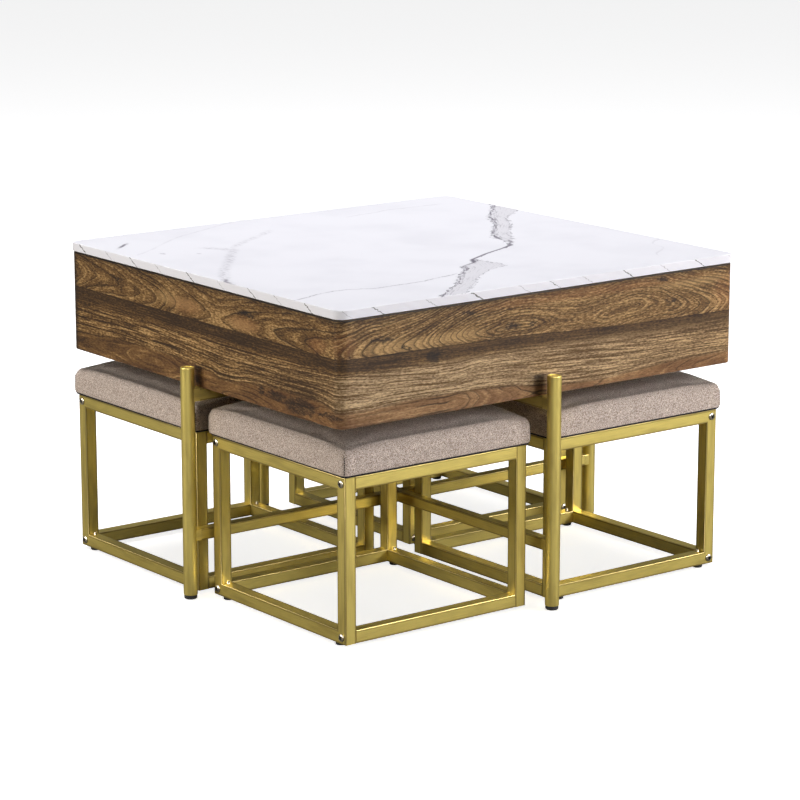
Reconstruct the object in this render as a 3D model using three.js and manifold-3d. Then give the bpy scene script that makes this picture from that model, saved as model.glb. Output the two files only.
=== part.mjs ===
// Square coffee table with a lifting top over a storage box, on four round posts joined by
// crossed beams, with four padded cube stools standing under the box, one in each quarter.
// Millimetres, +Z up, origin on the floor under the middle of the table.
// The wide front faces -Y. The top lifts up and towards -Y.

import * as THREE from 'three';
import { mergeVertices } from 'three/addons/utils/BufferGeometryUtils.js';
import Module from 'manifold-3d';

const wasm = await Module();
wasm.setup();

// Fits and smoothness
const seatGap = 0.3; // between pieces that touch
const joinOverlap = 1; // how deep joined solids reach into each other
const roundSteps = 32;
const smallRoundSteps = 24;
const cornerSteps = 6;

// Stool frame: two welded side frames joined by four bolted cross rails
const stoolWidth = 344;
const stoolTube = 20;
const tubeEase = 1.2;
const stoolFrameHeight = 254;
const stoolFootHeight = 5;
const stoolFootDiameter = 16;
const stoolFootInset = 25; // from the end of the side frame to the foot's middle

// Stool cushion
const cushionOverhang = 7;
const cushionDrawIn = 5;
const cushionEdgeHeight = 38;
const cushionCrown = 9;
const cushionCornerShare = 0.09;
const cushionSegments = 14;
const cushionSideSegments = 6;
const stoolHeadroom = 8; // from the crown of the cushion to the beams above it

// Room between each stool's frame and the beams that cross under the box
const frontStoolClearX = 21;
const frontStoolClearY = 6;
const leftStoolClearX = 33;
const leftStoolClearY = 2;
const rightStoolClearX = 11;
const rightStoolClearY = 6;
const backStoolClearX = 32;
const backStoolClearY = 15;
const stoolMarginX = 4; // the table top reaches this far past the left stool
const stoolMarginY = 1; // and this far past the back stool

// Beams and posts
const upperBeamSize = 20;
const lowerBeamSize = 18;
const lowerBeamHeight = 92.5; // floor to the underside of the lower beams
const beamStubLength = 5; // welded to the post, between it and the beam
const postDiameter = 22;
const postClearance = 8.5; // from the box to the post
const postRise = 33.5; // the posts reach this far above the underside of the box
const postRimWidth = 2.5;
const postRimEase = 1.2;
const postRecess = 0.8;
const postFootHeight = 6;
const postFootDiameter = 20.5;
const postFootEase = 1.5;

// Storage box
const boxHeight = 160.4;
const boxInset = 1.5; // from the edge of the top to the face of the box
const panelThickness = 15;
const bottomThickness = 12;

// Top slab
const topThickness = 13.5;
const topGap = 1.5; // between the closed top and the box
const topCornerRadius = 18;
const topEdgeEase = 1;

// Lift mechanism, one set of arms on each side
const armLength = 200; // pivot to pivot
const armClosedDegrees = 12; // above level when the top is down
const armWidth = 16;
const armThickness = 4;
const armSideGap = 0.6;
const pivotSpacing = 90;
const pivotForward = 180; // from the middle of the table to the front base pivots
const pivotDrop = 25; // from the slab down to the upper pivots
const pinDiameter = 10;
const pinClearance = 0.3;
const pinHeadDiameter = 14;
const pinHeadThickness = 2;
const bracketThickness = 3;
const bracketMargin = 20; // from a pivot to the end of its bracket
const baseBracketHeight = 44;
const topBracketHeight = 36;
const topBracketFlange = 25;
const crossBarDiameter = 12;
const crossBarShare = 0.3; // how far up the front arms it sits

// Heights from the floor
const stoolHeight = stoolFootHeight + stoolFrameHeight + seatGap + cushionEdgeHeight + cushionCrown;
const boxBottom = stoolHeight + stoolHeadroom + upperBeamSize + seatGap;
const boxTop = boxBottom + boxHeight;
const topUnderside = boxTop + topGap;
const postTop = boxBottom + postRise;
const upperBeamMiddle = boxBottom - seatGap - upperBeamSize / 2;
const lowerBeamMiddle = lowerBeamHeight + lowerBeamSize / 2;

// Plan sizes
const topLength = 2 * (lowerBeamSize / 2 + leftStoolClearX + stoolWidth + stoolMarginX);
const topWidth = 2 * (lowerBeamSize / 2 + backStoolClearY + stoolWidth + stoolMarginY);
const boxLength = topLength - 2 * boxInset;
const boxWidth = topWidth - 2 * boxInset;
const boxCornerRadius = topCornerRadius - boxInset;
const postReachX = boxLength / 2 + postClearance + postDiameter / 2;
const postReachY = boxWidth / 2 + postClearance + postDiameter / 2;

const materials = {
  marble: new THREE.MeshStandardMaterial({ color: '#eeecf1', roughness: 0.22, metalness: 0 }),
  walnut: new THREE.MeshStandardMaterial({ color: '#6b4a33', roughness: 0.5, metalness: 0 }),
  brass: new THREE.MeshStandardMaterial({ color: '#a8904a', roughness: 0.38, metalness: 0.9 }),
  fabric: new THREE.MeshStandardMaterial({ color: '#b5a498', roughness: 0.95, metalness: 0 }),
  rubber: new THREE.MeshStandardMaterial({ color: '#17171a', roughness: 0.8, metalness: 0 }),
  steel: new THREE.MeshStandardMaterial({ color: '#33343a', roughness: 0.45, metalness: 0.8 }),
};

function addMesh(group, name, geometry, material, position = [0, 0, 0]) {
  const mesh = new THREE.Mesh(geometry, material);
  mesh.name = name;
  mesh.position.set(...position);
  group.add(mesh);
  return mesh;
}

function toSolid(geometry) {
  const bare = geometry.clone();
  bare.deleteAttribute('normal');
  bare.deleteAttribute('uv');
  const merged = mergeVertices(bare);
  const vertProperties = new Float32Array(merged.attributes.position.array);
  const triVerts = new Uint32Array(merged.index.array);
  return new wasm.Manifold(new wasm.Mesh({ numProp: 3, vertProperties, triVerts }));
}

function toGeometry(solid) {
  const mesh = solid.getMesh();
  const geometry = new THREE.BufferGeometry();
  geometry.setAttribute('position', new THREE.BufferAttribute(mesh.vertProperties, 3));
  geometry.setIndex(new THREE.BufferAttribute(mesh.triVerts, 1));
  return geometry;
}

function joined(geometries) {
  let solid = toSolid(geometries[0]);
  for (const geometry of geometries.slice(1)) {
    solid = solid.add(toSolid(geometry));
  }
  return toGeometry(solid);
}

// An outline drawn along and across a piece stands up with its depth along X:
// its first axis turns to +Y and its second to +Z.
const standing = new THREE.Matrix4().makeBasis(
  new THREE.Vector3(0, 1, 0),
  new THREE.Vector3(0, 0, 1),
  new THREE.Vector3(1, 0, 0),
);

function extrude(shape, depth, ease = 0) {
  const geometry = new THREE.ExtrudeGeometry(shape, {
    depth: depth - 2 * ease,
    bevelEnabled: ease > 0,
    bevelThickness: ease,
    bevelSize: ease,
    bevelOffset: -ease,
    bevelSegments: 1,
    steps: 1,
    curveSegments: cornerSteps,
  });
  return geometry.translate(0, 0, ease);
}

function extrudeAcross(shape, fromX, toX, ease = 0) {
  const start = Math.min(fromX, toX);
  return extrude(shape, Math.abs(toX - fromX), ease).applyMatrix4(standing).translate(start, 0, 0);
}

function cylinderAcross(diameter, fromX, toX, y, z) {
  const radius = diameter / 2;
  const geometry = new THREE.CylinderGeometry(radius, radius, Math.abs(toX - fromX), smallRoundSteps);
  return geometry.rotateZ(Math.PI / 2).translate((fromX + toX) / 2, y, z);
}

function rectangle(length, width) {
  const shape = new THREE.Shape();
  shape.moveTo(-length / 2, -width / 2);
  shape.lineTo(length / 2, -width / 2);
  shape.lineTo(length / 2, width / 2);
  shape.lineTo(-length / 2, width / 2);
  shape.closePath();
  return shape;
}

function roundedRectangle(length, width, radius) {
  const x = length / 2 - radius;
  const y = width / 2 - radius;
  const quarter = Math.PI / 2;
  const shape = new THREE.Shape();
  shape.absarc(x, -y, radius, -quarter, 0);
  shape.absarc(x, y, radius, 0, quarter);
  shape.absarc(-x, y, radius, quarter, 2 * quarter);
  shape.absarc(-x, -y, radius, 2 * quarter, 3 * quarter);
  shape.closePath();
  return shape;
}

// Top slab: rounded plan corners and eased edges
function topSlab(group) {
  const outline = roundedRectangle(topLength, topWidth, topCornerRadius);
  const slab = extrude(outline, topThickness, topEdgeEase);
  addMesh(group, 'top_slab', slab, materials.marble, [0, 0, topUnderside]);
}

// One side of the box in plan, outer face along the first axis: its ends are mitred,
// and the outer corners are rounded up to the mitre.
function panelOutline(length) {
  const radius = boxCornerRadius;
  const eighth = Math.PI / 4;
  const mitreTurn = Math.asin(seatGap / 2 / radius);
  const inner = length / 2 - panelThickness - seatGap / Math.SQRT2;
  const centre = length / 2 - radius;
  const shape = new THREE.Shape();
  shape.absarc(centre, -radius, radius, eighth + mitreTurn, 2 * eighth);
  shape.absarc(-centre, -radius, radius, 2 * eighth, 3 * eighth - mitreTurn);
  shape.lineTo(-inner, -panelThickness);
  shape.lineTo(inner, -panelThickness);
  shape.closePath();
  return shape;
}

function storageBox(group) {
  const sides = [
    { name: 'back', length: boxLength, reach: boxWidth / 2, quarterTurns: 0 },
    { name: 'left', length: boxWidth, reach: boxLength / 2, quarterTurns: 1 },
    { name: 'front', length: boxLength, reach: boxWidth / 2, quarterTurns: 2 },
    { name: 'right', length: boxWidth, reach: boxLength / 2, quarterTurns: 3 },
  ];
  for (const side of sides) {
    const panel = extrude(panelOutline(side.length), boxHeight);
    panel.translate(0, side.reach, 0).rotateZ(side.quarterTurns * Math.PI / 2);
    addMesh(group, `box_panel_${side.name}`, panel, materials.walnut, [0, 0, boxBottom]);
  }
  const spare = 2 * (panelThickness + seatGap);
  const bottom = extrude(rectangle(boxLength - spare, boxWidth - spare), bottomThickness);
  addMesh(group, 'box_bottom', bottom, materials.walnut, [0, 0, boxBottom]);
}

// Round post with a rimmed, slightly sunk cap, and the two beam stubs welded to its inner side
function postGeometry() {
  const radius = postDiameter / 2;
  const rimInner = radius - postRimWidth;
  const foot = postFootHeight + seatGap;
  const profile = [
    new THREE.Vector2(0, foot),
    new THREE.Vector2(radius, foot),
    new THREE.Vector2(radius, postTop - postRimEase),
    new THREE.Vector2(radius - postRimEase, postTop),
    new THREE.Vector2(rimInner, postTop),
    new THREE.Vector2(rimInner, postTop - postRecess),
    new THREE.Vector2(0, postTop - postRecess),
  ];
  const tube = new THREE.LatheGeometry(profile, roundSteps).rotateX(Math.PI / 2);
  const stubReach = radius + beamStubLength;
  const upperStub = new THREE.BoxGeometry(stubReach, upperBeamSize, upperBeamSize);
  upperStub.translate(stubReach / 2, 0, upperBeamMiddle);
  const lowerStub = new THREE.BoxGeometry(stubReach, lowerBeamSize, lowerBeamSize);
  lowerStub.translate(stubReach / 2, 0, lowerBeamMiddle);
  return joined([tube, upperStub, lowerStub]);
}

function posts(group) {
  const places = [
    { name: 'left', x: -postReachX, y: 0, turn: 0 },
    { name: 'front', x: 0, y: -postReachY, turn: Math.PI / 2 },
    { name: 'right', x: postReachX, y: 0, turn: Math.PI },
    { name: 'back', x: 0, y: postReachY, turn: -Math.PI / 2 },
  ];
  const footRadius = postFootDiameter / 2;
  const footProfile = [
    new THREE.Vector2(0, 0),
    new THREE.Vector2(footRadius - postFootEase, 0),
    new THREE.Vector2(footRadius, postFootEase),
    new THREE.Vector2(footRadius, postFootHeight),
    new THREE.Vector2(0, postFootHeight),
  ];
  for (const place of places) {
    const post = addMesh(group, `post_${place.name}`, postGeometry(), materials.brass, [place.x, place.y, 0]);
    post.rotation.z = place.turn;
    const foot = new THREE.LatheGeometry(footProfile, roundSteps).rotateX(Math.PI / 2);
    addMesh(group, `post_foot_${place.name}`, foot, materials.rubber, [place.x, place.y, 0]);
  }
}

// Beam along the first axis with a half-lap notch at its middle, open upwards or downwards
function lappedBeam(length, size, opensUp) {
  const half = length / 2;
  const notch = size / 2 + seatGap;
  const edge = opensUp ? size / 2 : -size / 2;
  const depth = opensUp ? -seatGap / 2 : seatGap / 2;
  const shape = new THREE.Shape();
  shape.moveTo(-half, -edge);
  shape.lineTo(half, -edge);
  shape.lineTo(half, edge);
  shape.lineTo(notch, edge);
  shape.lineTo(notch, depth);
  shape.lineTo(-notch, depth);
  shape.lineTo(-notch, edge);
  shape.lineTo(-half, edge);
  shape.closePath();
  return extrudeAcross(shape, -size / 2, size / 2);
}

function crossedBeams(group) {
  const stub = postDiameter / 2 + beamStubLength + seatGap;
  const levels = [
    { name: 'upper', size: upperBeamSize, height: upperBeamMiddle },
    { name: 'lower', size: lowerBeamSize, height: lowerBeamMiddle },
  ];
  for (const level of levels) {
    const along = lappedBeam(2 * (postReachY - stub), level.size, false);
    addMesh(group, `${level.name}_beam_front_back`, along, materials.brass, [0, 0, level.height]);
    const across = lappedBeam(2 * (postReachX - stub), level.size, true).rotateZ(Math.PI / 2);
    addMesh(group, `${level.name}_beam_left_right`, across, materials.brass, [0, 0, level.height]);
  }
}

// Bar with round ends and a pin hole at each pivot, from its lower pivot along the first axis
function armOutline() {
  const radius = armWidth / 2;
  const quarter = Math.PI / 2;
  const shape = new THREE.Shape();
  shape.absarc(armLength, 0, radius, -quarter, quarter);
  shape.absarc(0, 0, radius, quarter, 3 * quarter);
  shape.closePath();
  const holeRadius = pinDiameter / 2 + pinClearance;
  for (const pivot of [0, armLength]) {
    const hole = new THREE.Path();
    hole.absarc(pivot, 0, holeRadius, 4 * quarter, 2 * quarter, true);
    hole.absarc(pivot, 0, holeRadius, 2 * quarter, 0, true);
    shape.holes.push(hole);
  }
  return shape;
}

// Layers of the mechanism, from the side panel inwards: base plate, arms, top plate
const baseOuter = boxLength / 2 - panelThickness - seatGap;
const baseInner = baseOuter - bracketThickness;
const armOuter = baseInner - armSideGap;
const armInner = armOuter - armThickness;
const plateOuter = armInner - armSideGap;
const plateInner = plateOuter - bracketThickness;

const armClosedAngle = THREE.MathUtils.degToRad(armClosedDegrees);
const upperPivotHeight = topUnderside - pivotDrop;
const lowerPivotHeight = upperPivotHeight - armLength * Math.sin(armClosedAngle);
const upperPivotFrontY = -pivotForward + armLength * Math.cos(armClosedAngle);
const bracketLength = pivotSpacing + 2 * bracketMargin;

function baseBracket(side) {
  const middleY = -pivotForward + pivotSpacing / 2;
  const outline = rectangle(bracketLength, baseBracketHeight);
  const plate = extrudeAcross(outline, side * baseOuter, side * baseInner);
  const pieces = [plate.translate(0, middleY, lowerPivotHeight)];
  const headOuter = armInner - pinClearance;
  for (const y of [-pivotForward, -pivotForward + pivotSpacing]) {
    const rootX = side * (baseInner + joinOverlap);
    pieces.push(cylinderAcross(pinDiameter, rootX, side * (headOuter - joinOverlap), y, lowerPivotHeight));
    const headInner = side * (headOuter - pinHeadThickness);
    pieces.push(cylinderAcross(pinHeadDiameter, side * headOuter, headInner, y, lowerPivotHeight));
  }
  return joined(pieces);
}

function topBracket(side) {
  const middleY = upperPivotFrontY + pivotSpacing / 2;
  const top = topUnderside - seatGap;
  const flange = new THREE.BoxGeometry(topBracketFlange, bracketLength, bracketThickness);
  flange.translate(side * (plateOuter - topBracketFlange / 2), middleY, top - bracketThickness / 2);
  const outline = rectangle(bracketLength, topBracketHeight);
  const plate = extrudeAcross(outline, side * plateOuter, side * plateInner);
  plate.translate(0, middleY, top - topBracketHeight / 2);
  const pieces = [flange, plate];
  for (const y of [upperPivotFrontY, upperPivotFrontY + pivotSpacing]) {
    const rootX = side * (plateOuter - joinOverlap);
    const endX = side * (armOuter + pinClearance);
    pieces.push(cylinderAcross(pinDiameter, rootX, endX, y, upperPivotHeight));
  }
  return joined(pieces);
}

function liftMechanism(group) {
  const sides = [
    { name: 'left', sign: -1 },
    { name: 'right', sign: 1 },
  ];
  const arms = [
    { name: 'front', y: -pivotForward },
    { name: 'rear', y: -pivotForward + pivotSpacing },
  ];
  for (const side of sides) {
    addMesh(group, `lift_base_${side.name}`, baseBracket(side.sign), materials.steel);
    addMesh(group, `lift_top_plate_${side.name}`, topBracket(side.sign), materials.steel);
    for (const arm of arms) {
      const bar = extrudeAcross(armOutline(), side.sign * armOuter, side.sign * armInner);
      const mesh = addMesh(group, `lift_arm_${arm.name}_${side.name}`, bar, materials.steel);
      mesh.position.set(0, arm.y, lowerPivotHeight);
      mesh.rotation.x = armClosedAngle;
    }
  }
  const barY = -pivotForward + crossBarShare * armLength * Math.cos(armClosedAngle);
  const barZ = lowerPivotHeight + crossBarShare * armLength * Math.sin(armClosedAngle);
  const reach = armInner - seatGap;
  const bar = cylinderAcross(crossBarDiameter, -reach, reach, barY, barZ);
  addMesh(group, 'lift_cross_bar', bar, materials.steel);
}

// Welded rectangle of square tube with two feet under its lower rail
function sideFrameGeometry() {
  const outer = rectangle(stoolWidth, stoolFrameHeight);
  outer.holes.push(rectangle(stoolWidth - 2 * stoolTube, stoolFrameHeight - 2 * stoolTube));
  const ring = extrudeAcross(outer, -stoolTube / 2, stoolTube / 2, tubeEase);
  ring.translate(0, 0, stoolFootHeight + stoolFrameHeight / 2);
  const pieces = [ring];
  const footRadius = stoolFootDiameter / 2;
  const footLength = stoolFootHeight + joinOverlap;
  for (const end of [-1, 1]) {
    const foot = new THREE.CylinderGeometry(footRadius, footRadius, footLength, smallRoundSteps);
    foot.rotateX(Math.PI / 2);
    pieces.push(foot.translate(0, end * (stoolWidth / 2 - stoolFootInset), footLength / 2));
  }
  return joined(pieces);
}

// Padded seat: a box whose sides are drawn in towards the seams and whose top is crowned
function cushionGeometry() {
  const half = stoolWidth / 2 + cushionOverhang;
  const geometry = new THREE.BoxGeometry(1, 1, 1, cushionSegments, cushionSegments, cushionSideSegments);
  const points = geometry.attributes.position;
  for (let i = 0; i < points.count; i += 1) {
    const u = 2 * points.getX(i);
    const v = 2 * points.getY(i);
    const w = 2 * points.getZ(i);
    const drawn = half - cushionDrawIn * w ** 4;
    const crown = cushionCrown * (1 - u ** 2) * (1 - v ** 2);
    const x = u * drawn * Math.sqrt(1 - cushionCornerShare * v ** 4);
    const y = v * drawn * Math.sqrt(1 - cushionCornerShare * u ** 4);
    points.setXYZ(i, x, y, (cushionEdgeHeight + crown) * (w + 1) / 2);
  }
  return geometry;
}

function stool(group, name, x, y, turned) {
  const frame = new THREE.Group();
  frame.position.set(x, y, 0);
  frame.rotation.z = turned ? Math.PI / 2 : 0;
  group.add(frame);
  const sideReach = (stoolWidth - stoolTube) / 2;
  const railLength = stoolWidth - 2 * (stoolTube + seatGap);
  const frameTop = stoolFootHeight + stoolFrameHeight;
  for (const end of [{ name: 'a', sign: -1 }, { name: 'b', sign: 1 }]) {
    const side = [end.sign * sideReach, 0, 0];
    addMesh(frame, `${name}_side_frame_${end.name}`, sideFrameGeometry(), materials.brass, side);
    for (const level of [{ name: 'lower', z: stoolFootHeight }, { name: 'upper', z: frameTop - stoolTube }]) {
      const rail = extrudeAcross(rectangle(stoolTube, stoolTube), -railLength / 2, railLength / 2);
      const place = [0, end.sign * sideReach, level.z + stoolTube / 2];
      addMesh(frame, `${name}_${level.name}_rail_${end.name}`, rail, materials.brass, place);
    }
  }
  addMesh(frame, `${name}_cushion`, cushionGeometry(), materials.fabric, [0, 0, frameTop + seatGap]);
}

function stools(group) {
  const centre = (clearance) => lowerBeamSize / 2 + clearance + stoolWidth / 2;
  stool(group, 'front_stool', -centre(frontStoolClearX), -centre(frontStoolClearY), false);
  stool(group, 'left_stool', -centre(leftStoolClearX), centre(leftStoolClearY), false);
  stool(group, 'right_stool', centre(rightStoolClearX), -centre(rightStoolClearY), true);
  stool(group, 'back_stool', centre(backStoolClearX), centre(backStoolClearY), true);
}

const table = new THREE.Group();
topSlab(table);
storageBox(table);
posts(table);
crossedBeams(table);
liftMechanism(table);
stools(table);

export default table;
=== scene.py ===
import math
from functools import partial

import bmesh
import bpy
import numpy as np
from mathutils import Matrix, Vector
from mathutils.bvhtree import BVHTree


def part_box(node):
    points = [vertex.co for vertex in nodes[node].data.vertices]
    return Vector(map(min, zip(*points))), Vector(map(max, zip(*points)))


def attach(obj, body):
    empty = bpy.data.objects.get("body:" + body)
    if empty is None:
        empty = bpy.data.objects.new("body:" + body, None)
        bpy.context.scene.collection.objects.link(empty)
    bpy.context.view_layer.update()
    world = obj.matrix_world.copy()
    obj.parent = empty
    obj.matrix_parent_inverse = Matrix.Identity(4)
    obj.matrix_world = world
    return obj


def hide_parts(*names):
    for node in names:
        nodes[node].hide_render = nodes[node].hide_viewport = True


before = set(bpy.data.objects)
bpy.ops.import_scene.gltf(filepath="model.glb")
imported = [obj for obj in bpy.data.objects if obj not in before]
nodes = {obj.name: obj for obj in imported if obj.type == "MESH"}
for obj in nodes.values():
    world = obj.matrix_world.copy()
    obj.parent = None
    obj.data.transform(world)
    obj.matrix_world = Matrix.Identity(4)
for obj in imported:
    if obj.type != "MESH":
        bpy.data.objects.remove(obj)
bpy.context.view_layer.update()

# Camera. A long lens stands well back to the front left and a little above the table top, so the
# upright edges stay upright and the marble shows as a narrow lozenge.
camera_azimuth = math.radians(-37.48)
camera_elevation = math.radians(12.88)
camera_distance = 4.9538
lens_length = 137.79  # mm, in front of a 36 mm sensor
look_at_height = 0.2553
view_shift_right = 0.0019
view_shift_up = 0.0042


def add_object(name, data):
    made = bpy.data.objects.new(name, data)
    bpy.context.scene.collection.objects.link(made)
    return made


def turned_towards(direction):
    """How a camera or a lamp stands when it looks along direction."""
    return direction.to_track_quat("-Z", "Y").to_euler()


level = Vector((math.cos(camera_azimuth), math.sin(camera_azimuth), 0))
towards_camera = Vector((
    math.sin(camera_azimuth) * math.cos(camera_elevation),
    -math.cos(camera_azimuth) * math.cos(camera_elevation),
    math.sin(camera_elevation),
))
upright = towards_camera.cross(level)
look_at = Vector((0, 0, look_at_height)) + view_shift_right * level + view_shift_up * upright
camera_data = bpy.data.cameras.new("camera")
camera_data.sensor_width = 36
camera_data.lens = lens_length
camera_data.clip_end = 100
camera = add_object("camera", camera_data)
camera.location = look_at + camera_distance * towards_camera
camera.rotation_euler = turned_towards(-towards_camera)
bpy.context.scene.camera = camera

# Studio. A plain pale floor runs far past the view. Two low lamps light only the matt surfaces, the right one
# stronger, so the wide face is the brighter one. One lamp hangs over the marble for everything, and three
# higher ones only show in what is shiny. Floor and sky have their own tones for the camera, for reflections
# and for the light that they throw back.
floor_reach = 30.0
floor_paint = (0.82, 0.82, 0.82, 1)
floor_bounce = (0.11, 0.10, 0.095, 1)
floor_mirrored = (0.22, 0.21, 0.185, 1)
floor_glow = 0.80
sky_paint = (0.97, 0.98, 1.0, 1)
sky_strength = 0.09
sky_mirrored = 0.10
sky_seen = 0.97
lamps_aim = Vector((0, 0, 0.3))
# Place, size, watts, tint and the surfaces that each lamp is for.
soft_lights = {
    "front_right_light": ((2.9, -4.1, 0.42), (3.0, 0.7), 254, (1.0, 0.985, 0.98), "matt"),
    "left_light": ((-4.0, 0.4, 0.42), (2.4, 0.7), 109, (1.0, 0.965, 0.90), "matt"),
    "overhead_light": ((0.3, 0.6, 4.2), (2.6, 2.6), 160, (0.98, 0.98, 1.0), "all"),
    "front_right_shine": ((2.9, -4.1, 2.8), (2.9, 2.9), 600, (1.0, 0.985, 0.97), "shiny"),
    "front_shine": ((-2.3, -3.7, 2.2), (1.6, 1.6), 160, (1.0, 0.975, 0.94), "shiny"),
    "left_shine": ((-4.1, 1.2, 2.3), (2.1, 2.1), 300, (1.0, 0.96, 0.90), "shiny"),
}


def feed(made, inputs):
    """Gives each input of a node another node's output or a plain value."""
    for key, value in inputs.items():
        if isinstance(value, bpy.types.NodeSocket):
            made.id_data.links.new(value, made.inputs[key])
        else:
            made.inputs[key].default_value = value
    return made


def add_node(tree, kind, inputs=None, **settings):
    made = tree.nodes.new(kind)
    for key, value in settings.items():
        setattr(made, key, value)
    return feed(made, inputs or {})


def tree_of(*values):
    """The material or group that the values are worked out in."""
    return next(value.id_data for value in values if isinstance(value, bpy.types.NodeSocket))


def calc(operation, *values, clamp=False):
    tree, inputs = tree_of(*values), dict(enumerate(values))
    return add_node(tree, "ShaderNodeMath", inputs, operation=operation, use_clamp=clamp).outputs[0]


plus, minus, times, over = (partial(calc, name) for name in ("ADD", "SUBTRACT", "MULTIPLY", "DIVIDE"))
power, larger, smaller = (partial(calc, name) for name in ("POWER", "MAXIMUM", "MINIMUM"))
size_of, rounded = (partial(calc, name) for name in ("ABSOLUTE", "ROUND"))


def between(share, first, second):
    inputs = {0: share, 2: first, 3: second}
    return add_node(tree_of(*inputs.values()), "ShaderNodeMix", inputs).outputs[0]


def mix_paint(share, first, second):
    inputs = {0: share, 6: first, 7: second}
    return add_node(tree_of(*inputs.values()), "ShaderNodeMix", inputs, data_type="RGBA").outputs[2]


def new_material(name):
    made = bpy.data.materials.new(name)
    made.use_nodes = True
    shader = made.node_tree.nodes["Principled BSDF"]
    return made, made.node_tree, shader


floor_mesh = bpy.data.meshes.new("floor")
floor_corners = [(-1, -1), (1, -1), (1, 1), (-1, 1)]
floor_mesh.from_pydata([(x * floor_reach, y * floor_reach, 0) for x, y in floor_corners], [], [(0, 1, 2, 3)])
floor = add_object("floor", floor_mesh)
floor_material, tree, shader = new_material("pale_floor")
light_path = add_node(tree, "ShaderNodeLightPath").outputs
seen = light_path["Is Camera Ray"]
floor_tone = mix_paint(light_path["Is Glossy Ray"], floor_bounce, floor_mirrored)
feed(shader, {
    "Base Color": mix_paint(seen, floor_tone, floor_paint), "Roughness": 0.9, "Specular IOR Level": 0.1,
    "Emission Color": (1, 1, 1, 1), "Emission Strength": times(seen, floor_glow),
})
floor_mesh.materials.append(floor_material)

world = bpy.data.worlds.new("studio")
world.use_nodes = True
light_path = add_node(world.node_tree, "ShaderNodeLightPath").outputs
sky_light = between(light_path["Is Glossy Ray"], sky_strength, sky_mirrored)
sky_light = between(light_path["Is Camera Ray"], sky_light, sky_seen)
feed(world.node_tree.nodes["Background"], {"Color": sky_paint, "Strength": sky_light})
bpy.context.scene.world = world
bpy.context.scene.view_settings.view_transform = "Standard"
for name, (place, size, watts, tint, surfaces) in soft_lights.items():
    light_data = bpy.data.lights.new(name, "AREA")
    light_data.shape = "RECTANGLE"
    light_data.size, light_data.size_y = size
    light_data.energy = watts
    light_data.color = tint
    lamp = add_object(name, light_data)
    lamp.location = place
    lamp.visible_diffuse = surfaces != "shiny"
    lamp.visible_glossy = surfaces != "matt"
    lamp.rotation_euler = turned_towards(lamps_aim - lamp.location)

# Storage box. Four veneered side panels, mitred and rounded at the corners so that the walnut runs
# round them unbroken. The veneer is two strips: a figured one above, a straighter one below.
panel_thickness = 0.015
box_corner_radius = 0.0165
box_edge_ease = 0.0012
box_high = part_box("box_panel_back")[1]
box_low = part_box("box_panel_front")[0]
box_half_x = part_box("box_panel_right")[1].x
box_half_y = box_high.y
wrap_end = 4 * box_half_x + 2 * box_half_y  # the veneer starts and ends at the back left corner

# Along the wrap, in mm from the front left corner, and above the box's lower edge. The veneer on the right
# and back faces is the same sheet turned over, as book-matched veneer is.
mirror_line = 4 * box_half_x * 1000
strip_join = [(-735, 105.5), (0, 103), (335, 98.6), (425, 94), (575, 88.7), (777, 86)]
# The upper strip is cut through the middle of its log: rings close in long flames where the heart comes near
# the face. How many rings lie between the face and the heart, and how high the heart runs.
heart_rings = [
    (-735, 15.2), (-700, 16.6), (-655, 18), (-580, 19), (-527, 20), (-478, 21), (-425, 23), (-370, 24.3),
    (-335, 24.9), (-318, 25.02), (-300, 24.9), (-250, 24.2), (-168, 23), (-84, 22), (-34, 21), (0, 20),
    (22, 19), (42, 18), (60, 17), (78, 16), (95, 15), (113, 14), (135, 13), (150, 12), (162, 11), (172, 10),
    (182, 9), (192, 8), (203, 7), (213, 6), (226, 5), (236, 4), (252, 3), (272, 2), (290, 1), (312, 0.2),
    (340, 0.2), (365, 1), (400, 2.6), (440, 3), (480, 2.2), (530, 0.4), (565, 0.6), (592, 2), (620, 3.1),
    (645, 4.1), (665, 5), (685, 6), (715, 7.5), (750, 9.5), (777, 11),
]
heart_height = [
    (-735, 128), (-655, 131), (-580, 127), (-527, 122), (-478, 121), (-425, 122), (-330, 118), (-300, 117),
    (-168, 120), (-84, 119), (-34, 113), (22, 109), (60, 111), (113, 110), (170, 111), (236, 113), (290, 112),
    (320, 115), (358, 114), (420, 112), (480, 108), (530, 113), (592, 118), (645, 110), (685, 105),
    (715, 103), (777, 104),
]
ring_height = [(-735, 4.1), (-60, 4.2), (22, 3.8), (60, 3.4), (113, 3.0), (200, 3.2), (300, 4.3), (777, 4.6)]
# Some rings have a bolder dark line than the rest.
ring_boldness = [
    (0, 0.3), (1, 0.6), (2, 0.7), (3, 0.75), (4, 0.7), (5, 0.6), (6, 0.75), (7, 0.6), (8, 0.7), (9, 0.75),
    (10, 0.6), (11, 0.7), (12, 0.6), (13, 0.75), (14, 0.85), (15, 0.55), (16, 0.65), (17, 0.6), (18, 0.75),
    (19, 0.7), (20, 0.6), (21, 0.7), (22, 0.85), (23, 0.8), (24, 0.2), (25, 1.0), (26, 0.3), (27, 0.7),
    (28, 0.3), (29, 0.6), (30, 0.4),
]
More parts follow.
